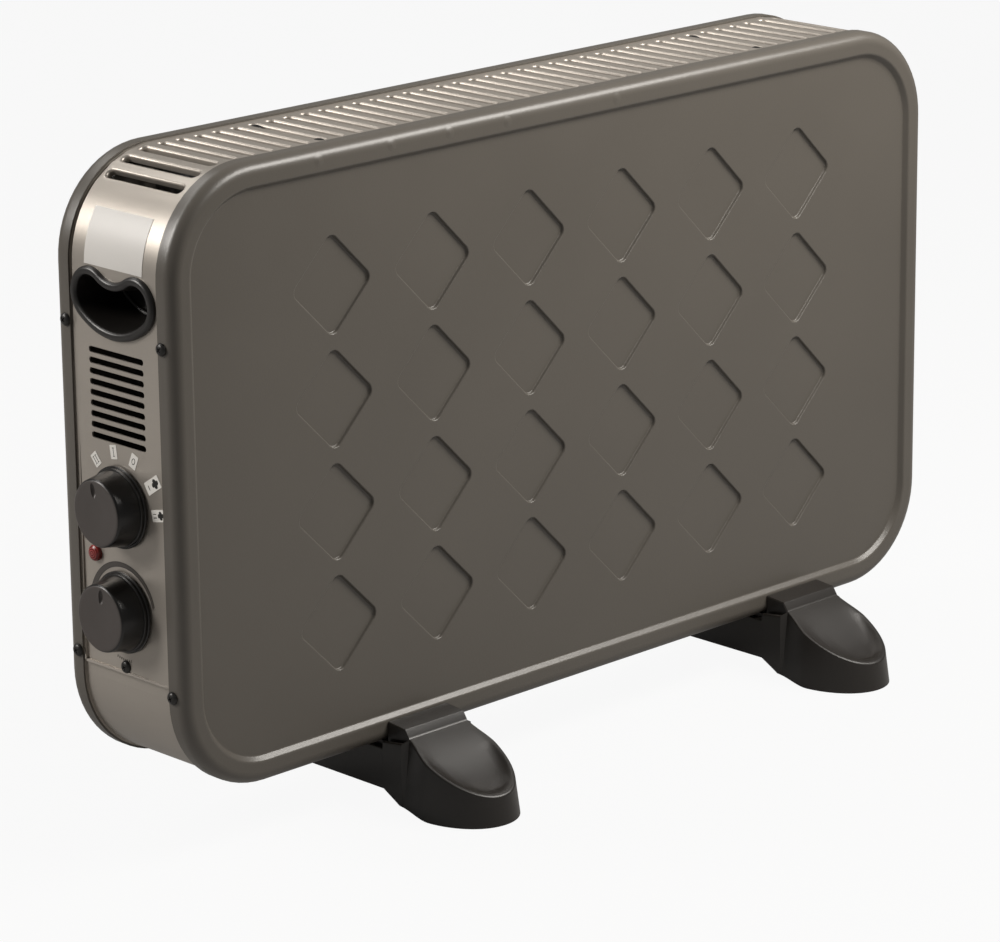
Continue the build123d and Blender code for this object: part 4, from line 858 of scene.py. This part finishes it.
stickers, prints = bmesh.new(), bmesh.new()
CARD_CORNER = 0.5
SIGNS = ((-41, 30, 5.6, 7.8), (-9, 30, 5.4, 7.8), (23, 30, 5.6, 8.4), (57, 32.4, 7.4, 12.6),
         (87.5, 30.8, 10.2, 6.6))
for order, (angle, out_by, wide, high) in enumerate(SIGNS):
    centre = (out_by * sin(radians(angle)), out_by * cos(radians(angle)))
    place = spot(*centre, angle if order < 4 else -12)
    card = []
    for qx, qy, first in ((1, 1, 0), (-1, 1, 1), (-1, -1, 2), (1, -1, 3)):
        for k in range(4):
            turn = (first + k / 3) * pi / 2
            card.append((
                qx * (wide / 2 - CARD_CORNER) + CARD_CORNER * cos(turn),
                qy * (high / 2 - CARD_CORNER) + CARD_CORNER * sin(turn),
            ))
    plate(stickers, place(card), SELECTOR_Z, 0.02, 0.20)
    signs = []
    if order == 0:
        for x in (-1.0, 1.0):
            signs += [bar(x, 0, 0.35, 4.6), bar(x, 2.2, 1.3, 0.35), bar(x, -2.2, 1.3, 0.35)]
    elif order == 1:
        signs += [bar(0, 0, 0.4, 4.8), bar(0, 2.3, 1.5, 0.35), bar(0, -2.3, 1.5, 0.35)]
    elif order == 2:
        around = [(1.35 * cos(k * pi / 12), 1.9 * sin(k * pi / 12)) for k in range(24)]
        inner = [(0.95 * cos(k * pi / 12), 1.5 * sin(k * pi / 12)) for k in range(24)]
        for k in range(24):
            n = (k + 1) % 24
            signs.append([around[k], around[n], inner[n], inner[k]])
    elif order == 3:
        signs += [blade(0.1, 2.2, k * pi / 2 + 0.3, 2.9) for k in range(4)]
        signs += [bar(0.1, -3.7, 2.8, 0.5)]
    else:
        signs += [blade(2.2, 0.0, k * pi / 2 + 0.3, 2.5) for k in range(4)]
        signs += [bar(-2.6, 1.0, 2.6, 0.45), bar(-2.6, -1.0, 2.6, 0.45)]
    for sign in signs:
        plate(prints, place(sign), SELECTOR_Z, 0.205, 0.24)
plate(stickers, [(24.6, 4.9), (27.4, 4.9), (27.4, 4.3), (24.6, 4.3)], THERMOSTAT_Z, 0.02, 0.12)
marks = make("dial_stickers", stickers, sticker_white)
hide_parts("dial_marks")
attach(marks, "chassis")

SCALE_FROM, SCALE_SWEEP, SCALE_STEPS, LINE = 77, 227, 60, 0.28


def arc(start, widening):
    """Points along the scale at a radius that grows from start by widening."""
    points = []
    for k in range(SCALE_STEPS + 1):
        a = radians(SCALE_FROM - SCALE_SWEEP * k / SCALE_STEPS)
        radius = start + widening * k / SCALE_STEPS
        points.append((radius * sin(a), radius * cos(a)))
    return points


def further(point):
    """The same point one line's width further from the knob's axis."""
    grow = 1 + LINE / hypot(*point)
    return point[0] * grow, point[1] * grow


crescent = bmesh.new()
inner, outer = arc(24.4, 1.2), arc(26.2, 3.4)
for k in range(SCALE_STEPS):
    plate(crescent, [inner[k], inner[k + 1], outer[k + 1], outer[k]], THERMOSTAT_Z, 0.02, 0.14)
scale = make("crescent_scale", crescent, scale_grey)
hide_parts("thermostat_scale")
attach(scale, "chassis")
for k in range(SCALE_STEPS):
    for loop in (inner, outer):
        a, b = loop[k], loop[k + 1]
        plate(prints, [a, b, further(b), further(a)], THERMOSTAT_Z, 0.145, 0.17)
for k in range(9):
    a = radians(168 + k * 3.4)
    tick = [(27.0 * sin(a) - 0.25, 27.0 * cos(a)), (27.0 * sin(a) + 0.25, 27.0 * cos(a)),
            (28.4 * sin(a) + 0.25, 28.4 * cos(a)), (28.4 * sin(a) - 0.25, 28.4 * cos(a))]
    plate(prints, tick, THERMOSTAT_Z, 0.02, 0.10)
signs = make("dial_print", prints, print_black)
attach(signs, "chassis")


# Indicator lens: a small domed cap moulded in clear red acrylic with a faintly ribbed inside, pushed
# into a round hole between the two knobs.
LENS_R, LENS_NECK, LENS_STEM = 4.6, 3.05, 5.0


def lens_finish():
    material, bench = fresh_material("lens_red")
    place = bench.add("ShaderNodeTexCoord", out="Object")
    centred = bench.add("ShaderNodeMapping", {}, {
        "Vector": place, "Location": (0, -LENS_Y * MM, -LENS_Z * MM),
    })
    ribs = bench.add("ShaderNodeTexWave", {"wave_type": "RINGS", "rings_direction": "X"}, {
        "Vector": centred, "Scale": 260.0, "Distortion": 0.4,
    })
    reds = [(0.2, (0.12, 0.008, 0.008)), (0.9, (0.30, 0.035, 0.03))]
    tint = bench.add("ShaderNodeValToRGB", {"stops": reds}, {"Fac": ribs})
    skin = bench.add("ShaderNodeBump", {}, {"Strength": 0.2, "Distance": 0.0004, "Height": ribs})
    shader = bench.add("ShaderNodeBsdfPrincipled", {}, {
        "Base Color": tint, "Roughness": 0.22 + ribs * 0.1, "Normal": skin, "Subsurface Weight": 0.25,
    })
    shader.socket.node.inputs["Subsurface Radius"].default_value = (0.002, 0.0003, 0.0003)
    bench.add("ShaderNodeOutputMaterial", values={"Surface": shader})
    return material


lens_bm = bmesh.new()
lens_profile = [(-LENS_STEM, LENS_NECK), (0.0, LENS_NECK), (0.0, LENS_R), (1.2, LENS_R)]
lens_profile += [(1.2 + 2.3 * sin(t * pi / 16), LENS_R * cos(t * pi / 17.5) ** 0.9) for t in range(1, 8)]
rings = spun(lens_bm, lens_profile, steps=40)
lens_bm.faces.new(rings[-1])
lens_bm.faces.new(reversed(rings[0]))
lens_seat = Matrix.Translation((-SIDE_X, LENS_Y, LENS_Z)) @ Matrix.Rotation(pi, 4, "Z")
bmesh.ops.transform(lens_bm, matrix=lens_seat, verts=lens_bm.verts)
lens = make("lens_cap", lens_bm, lens_finish(), sharp=50.0)
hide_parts("indicator_lens")
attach(lens, "chassis")


# Corner label: a blank white vinyl sticker, 0.2 mm thick, stuck round the bend of the upper wrapper
# on its left upper corner.
label_white = painted("label_white", (0.70, 0.68, 0.65), 0.36, grain=2200.0, peel=0.05, mottle=0.03)
label = bmesh.new()
LABEL_WIDE, LABEL_FROM, LABEL_TO = 47.5, 2.0, 33.5
LABEL_UNDER, LABEL_OVER = 0.02, 0.2
label_section = [(-LABEL_WIDE / 2, LABEL_UNDER), (-LABEL_WIDE / 2, LABEL_OVER), (LABEL_WIDE / 2, LABEL_OVER),
                 (LABEL_WIDE / 2, LABEL_UNDER)]
columns = []
for k in range(17):
    turn = (LABEL_FROM + (LABEL_TO - LABEL_FROM) * k / 16) / WRAP_R
    columns.append([
        (-(FLAT_REACH + (WRAP_R + lift) * cos(turn)), y, CORNER_Z + (WRAP_R + lift) * sin(turn))
        for y, lift in label_section
    ])
rings = bridge(label, columns)
label.faces.new(rings[0])
label.faces.new(reversed(rings[-1]))
sticker = make("blank_label", label, label_white)
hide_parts("corner_label")
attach(sticker, "chassis")


# Screws: black-oxide self-tapping pan heads with a cross recess, driven through the pans' flanges,
# at the lap and through two louvre slots into the hangers.
screw_black = painted("screw_black", (0.022, 0.021, 0.020), 0.36, grain=2400.0, peel=0.08, mottle=0.25,
                      metallic=0.35, dust=0.2)


def screw_template(length):
    """One pan-head screw that points out along +Z from the origin."""
    bm = bmesh.new()
    head_r, edge = 3.65, 0.35
    profile = [(-length, 0.6), (-length + 1.6, 1.6), (-length + 1.6, 1.85), (0.0, 1.9), (0.0, 3.5)]
    profile.append((edge, head_r))
    profile += [(edge + 2.05 * sin(t * pi / 14), head_r * cos(t * pi / 14) ** 0.75) for t in range(1, 7)]
    rings = spun(bm, profile, steps=28)
    bm.faces.new(rings[-1])
    bm.faces.new(reversed(rings[0]))
    bmesh.ops.transform(bm, matrix=Matrix.Rotation(-pi / 2, 4, "Y"), verts=bm.verts)
    made = make("screw", bm, screw_black)
    cross = bmesh.new()
    slot_wide, slot_long = 0.85, 4.3
    for wide, long in ((slot_wide, slot_long), (slot_long, slot_wide)):
        arms = bmesh.ops.create_cube(cross, size=1.0)["verts"]
        bmesh.ops.scale(cross, vec=(wide, long, 2.6), verts=arms)
        bmesh.ops.translate(cross, vec=(0, 0, 2.3), verts=arms)
        for v in arms:
            if v.co.z < 2.0:
                v.co.x *= 0.55
                v.co.y *= 0.55
    cutter = bpy.data.objects.new("cross", bpy.data.meshes.new("cross"))
    bmesh.ops.scale(cross, vec=(MM,) * 3, verts=cross.verts)
    cross.to_mesh(cutter.data)
    cross.free()
    bpy.context.scene.collection.objects.link(cutter)
    cut = made.modifiers.new("cross", "BOOLEAN")
    cut.operation = "DIFFERENCE"
    cut.solver = "EXACT"
    cut.use_self = True
    cut.object = cutter
    settle(made)
    bpy.data.objects.remove(cutter)
    return made


def screws(name, seats, length, *nodes):
    """Screws at (place, outward direction) seats, placed by a tree from points that carry the direction."""
    template = screw_template(length)
    mesh = bpy.data.meshes.new(name)
    mesh.from_pydata([tuple(c * MM for c in place) for place, _ in seats], [], [])
    facing = mesh.attributes.new("facing", "FLOAT_VECTOR", "POINT")
    for row, (_, direction) in zip(facing.data, seats):
        row.vector = direction
    made = bpy.data.objects.new(name, mesh)
    bpy.context.scene.collection.objects.link(made)
    bench, given = tree_for(made, name, {"Screw": ("Object", template), "Turn": ("Float", 0.5)})
    head = bench.add("GeometryNodeObjectInfo", {"transform_space": "ORIGINAL"}, {"Object": given["Screw"]},
                     out="Geometry")
    way = bench.add("GeometryNodeInputNamedAttribute", {"data_type": "FLOAT_VECTOR"}, {"Name": "facing"})
    order = bench.add("GeometryNodeInputIndex")
    lean = bench.add("FunctionNodeAlignRotationToVector", {"axis": "Z"}, {"Vector": way})
    spin = bench.add("ShaderNodeCombineXYZ", {}, {"Z": order * 1.9 + given["Turn"]})
    lean = bench.add("FunctionNodeRotateRotation", {"rotation_space": "LOCAL"}, {
        "Rotation": lean, "Rotate By": spin,
    })
    placed = bench.add("GeometryNodeInstanceOnPoints", {}, {
        "Points": given["Geometry"], "Instance": head, "Rotation": lean,
    })
    hand_over(bench, placed, screw_black)
    settle(made)
    bpy.data.objects.remove(template)
    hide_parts(*nodes)
    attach(made, "chassis")


FLANGE_Y, LAP_Z, HANGER_Y = BODY_D / 2 - 9.3, 105.6, 25.4
SIDES = (-1, 1)
for name, y, heights in (
    ("front_flange_screws", -FLANGE_Y, (97.5, 290.5)),
    ("rear_flange_screws", FLANGE_Y, (106.5, 293.0)),
):
    seats = [((s * BODY_W / 2, y, z), (s, 0, 0)) for s in SIDES for z in heights]
    screws(f"{name}_set", seats, 9.0, name)
screws("lap_screw_set", [((s * SIDE_X, 0, LAP_Z), (s, 0, 0)) for s in SIDES], 9.0, "lap_screws")
hung = (8 - (LOUVRES - 1) / 2) * LOUVRE_PITCH
top_z = LIFT + BODY_H - SHEET
seats = [((s * hung, y, top_z - 2.6), (0, 0, 1)) for s in SIDES for y in (-HANGER_Y, HANGER_Y)]
screws("hanger_screw_set", seats, 7.0, "hanger_screws")


# Feet: black glass-filled nylon runners. Each has a saddle between two clamp blocks that grip the
# pans, and a dished tongue with a raised rim that runs down to a round toe on either side.
FEET = (("left_foot", -130.0), ("right_foot", 184.0))
foot_black = painted("foot_black", (0.017, 0.0145, 0.0125), 0.36, grain=800.0, peel=0.08, mottle=0.15,
                     dust=0.10)
TOE, PAD, ARCH, TIP, TIP_H = 118.0, 62.0, 49.0, 36.0, 16.5
CLAMP_Y, CLAMP_TAIL, CLAMP_HALF = BODY_D / 2 + 14.0, 2.9, 23.0
FOOT_HALF, FLARE, TOE_FLARE = 27.0, 2.6, 2.2


def smooth_step(t):
    t = min(max(t, 0.0), 1.0)
    return t * t * (3 - 2 * t)


def tongue_top(y):
    """Height of the tongue's rim at distance y from the middle."""
    start, low = CLAMP_Y + CLAMP_TAIL, 42.6
    t = min(max((y - start) / (TOE - start), 0.0), 1.0)
    return low + (TIP_H - low) * t - 3.0 * t * (1 - t)


def half_width(y):
    """Half the width of the foot, round at the toe."""
    if y <= TOE - TIP:
        return FOOT_HALF
    return FOOT_HALF * sqrt(max(0.0, 1 - ((y - TOE + TIP) / TIP) ** 2))


def top_width(y):
    """Half the width of the tongue's top: as wide as the clamp block where it starts, then widening."""
    drawn_in = 4.2 * (1 - smooth_step((y - CLAMP_Y - 1.5) / 20.0))
    return half_width(y) - drawn_in * (y > CLAMP_Y + CLAMP_TAIL - 0.5)


def foot_top(x, y):
    """The upper surface: rim and dish on the tongues, low walls beside the clamps, the saddle between."""
    wide = top_width(y)
    if y <= TOE - TIP:
        inside = wide - abs(x)
    else:
        inside = (1 - hypot(x / FOOT_HALF, (y - TOE + TIP) / TIP)) * (FOOT_HALF + (TIP - FOOT_HALF) * 0.5)
    round_off = 1.1
    edge = max(0.0, round_off - inside)
    fall = round_off - sqrt(max(0.0, round_off**2 - edge**2))
    if y > CLAMP_Y + CLAMP_TAIL - 0.5:
        dish = 3.2 * smooth_step((inside - 1.6) / 7.0) * smooth_step((y - 68.0) / 34.0)
        return tongue_top(y) - dish - fall
    if y > BODY_D / 2 - 0.2:
        back = (y - BODY_D / 2) / (CLAMP_Y + CLAMP_TAIL - BODY_D / 2)
        return (38.2 + 2.2 * back) - 6.5 * smooth_step((inside - 1.6) / 0.8) - fall
    if abs(x) < CLAMP_HALF + 0.05:
        return 36.4
    return 34.0 - fall


def foot_under(x, y):
    """The lower surface: the pads stand on the floor, and the foot is hollow under the body."""
    if y >= PAD:
        return 3.0 * (1 - smooth_step((y - PAD) / 26.0))
    if y > ARCH:
        return 3.0 + 7.0 * (PAD - y) / (PAD - ARCH)
    if y < ARCH - 3.0 and abs(x) < 24.0:
        return 29.0
    return 10.0


def foot(name, middle):
    bm = bmesh.new()
    tongue = 68.5
    half = [0.0, 15.0, 30.0, 45.9, 46.1, 47.5, 48.5, 49.0, 50.5, 54.0, 58.0, 61.9, 62.1, 64.0, 66.2, 66.4,
            67.2]
    half += [tongue + (TOE - TIP - tongue) * k / 8 for k in range(9)]
    half += [TOE - TIP + TIP * sin(k * pi / 2 / 30) for k in range(1, 31)]
    stations = [-y for y in reversed(half[1:])] + half
    across = [0.0, 0.3, 0.6, 0.78, 0.853, 0.856, 0.885, 0.892, 0.91, 0.925, 0.94, 0.955, 0.965, 0.975, 0.985,
              0.993, 1.0]
    columns = [-c for c in reversed(across[1:])] + across
    upper, lower = [], []
    for y in stations:
        wide = top_width(abs(y))
        upper.append([bm.verts.new((middle + c * wide, y, foot_top(c * wide, abs(y)))) for c in columns])
        wide = half_width(abs(y))
        flare = 1 + FLARE * smooth_step((abs(y) - 58.0) / 30.0) / FOOT_HALF
        out = y * (1 + TOE_FLARE / TOE * smooth_step((abs(y) - TOE + TIP) / TIP))
        lower.append([
            bm.verts.new((middle + c * wide * flare, out, foot_under(c * wide, abs(y)))) for c in columns
        ])
    for grid, turned in ((upper, False), (lower, True)):
        for a, b in zip(grid, grid[1:]):
            for k in range(len(columns) - 1):
                corners = [a[k], a[k + 1], b[k + 1], b[k]]
                bm.faces.new(reversed(corners) if turned else corners)
    for k in (0, len(columns) - 1):
        for i in range(len(stations) - 1):
            bm.faces.new((upper[i][k], upper[i + 1][k], lower[i + 1][k], lower[i][k]))
    bmesh.ops.remove_doubles(bm, verts=bm.verts, dist=0.003)
    bmesh.ops.dissolve_degenerate(bm, edges=bm.edges, dist=0.001)
    back, tail, bevel = BODY_D / 2, CLAMP_Y + CLAMP_TAIL, 0.6
    section = [(back + 0.05, 30.0), (back + 0.05, 48.1), (back + 0.5, 48.5), (CLAMP_Y - 0.7, 47.3),
               (CLAMP_Y - 0.1, 47.1), (CLAMP_Y + 0.3, 46.6), (tail - 0.3, 43.2), (tail + 0.2, 42.4),
               (tail + 1.4, 41.6), (tail + 1.4, 30.0)]
    widths = ((-CLAMP_HALF, bevel), (bevel - CLAMP_HALF, 0.0), (CLAMP_HALF - bevel, 0.0), (CLAMP_HALF, bevel))
    for end in (-1, 1):
        loops = []
        for x, shrink in widths:
            loop = []
            for y, z in section:
                inward = shrink if y < CLAMP_Y - 1 else -shrink
                loop.append((middle + x, end * (y + inward * 0.7), z - shrink * (z > 35)))
            loops.append(loop)
        rings = bridge(bm, loops)
        bm.faces.new(rings[0])
        bm.faces.new(reversed(rings[-1]))
    made = make(f"{name}_runner", bm, foot_black, sharp=32.0)
    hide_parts(name)
    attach(made, "chassis")


for name, middle in FEET:
    foot(name, middle)


# Inside: zinc-plated sheet, finned aluminium elements on steel rods, ceramic bushes, a shaded-pole fan
# motor, switches and insulated wires. They show through the slots and are the CAD's own solids.
def plated(name, colour, rough):
    """Zinc plating with its spangle."""
    material, bench = fresh_material(name)
    place = bench.add("ShaderNodeTexCoord", out="Object")
    spangle = bench.add("ShaderNodeTexVoronoi", {}, {"Vector": place, "Scale": 140.0}, out="Color")
    level = bench.add("ShaderNodeSeparateColor", {}, {"Color": spangle})
    fine = bench.add("ShaderNodeTexNoise", {}, {"Vector": place, "Scale": 600.0, "Detail": 2.0})
    deep, pale = tuple(c * 0.86 for c in colour), tuple(min(1.0, c * 1.1) for c in colour)
    tint = bench.add("ShaderNodeValToRGB", {"stops": [(0.1, deep), (0.9, pale)]}, {"Fac": level})
    skin = bench.add("ShaderNodeBump", {}, {"Strength": 0.06, "Distance": 0.0002, "Height": fine})
    shader = bench.add("ShaderNodeBsdfPrincipled", {}, {
        "Base Color": tint, "Roughness": rough + level * 0.14, "Metallic": 0.95, "Normal": skin,
    })
    bench.add("ShaderNodeOutputMaterial", values={"Surface": shader})
    return material


zinc = plated("zinc_sheet", (0.50, 0.51, 0.52), 0.34)
dress(zinc, "control_partition", "left_element_bracket", "right_element_bracket", "front_heat_shield",
      "rear_heat_shield", "left_hanger", "right_hanger", "fan_shroud", "motor_yoke", "motor_bridge")
dress(painted("element_alloy", (0.55, 0.55, 0.56), 0.42, grain=500.0, peel=0.1, mottle=0.08, metallic=0.9),
      "lower_element", "upper_element")
dress(painted("rod_steel", (0.26, 0.23, 0.20), 0.45, grain=700.0, peel=0.12, mottle=0.3, metallic=0.85),
      "lower_element_rod", "upper_element_rod", "motor_rotor")
dress(painted("bush_ceramic", (0.70, 0.67, 0.60), 0.55, grain=1200.0, peel=0.12, mottle=0.06),
      "element_bushes")
dress(painted("lamination", (0.17, 0.17, 0.18), 0.5, grain=1500.0, peel=0.2, mottle=0.25, metallic=0.7),
      "motor_stator")
dress(painted("coil_copper", (0.42, 0.19, 0.08), 0.4, grain=900.0, peel=0.3, mottle=0.2, metallic=0.6),
      "motor_coil")
dress(painted("fan_plastic", (0.04, 0.04, 0.045), 0.45, grain=900.0, peel=0.08, mottle=0.2), "fan_impeller")
dress(painted("switch_plastic", (0.56, 0.52, 0.44), 0.5, grain=900.0, peel=0.08, mottle=0.08),
      "selector_body", "thermostat_body", "indicator_lamp", "thermal_cutout", "terminal_block",
      "selector_shaft", "thermostat_shaft")
dress(painted("grommet_rubber", (0.02, 0.02, 0.02), 0.6, grain=900.0, peel=0.12, mottle=0.2), "cord_grommet")
dress(painted("wire_cover", (0.20, 0.035, 0.025), 0.4, grain=1200.0, peel=0.05, mottle=0.2),
      "internal_wiring")
dress(screw_black, "control_screws", "foot_screws", "partition_screws", "bracket_screws")

low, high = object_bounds()
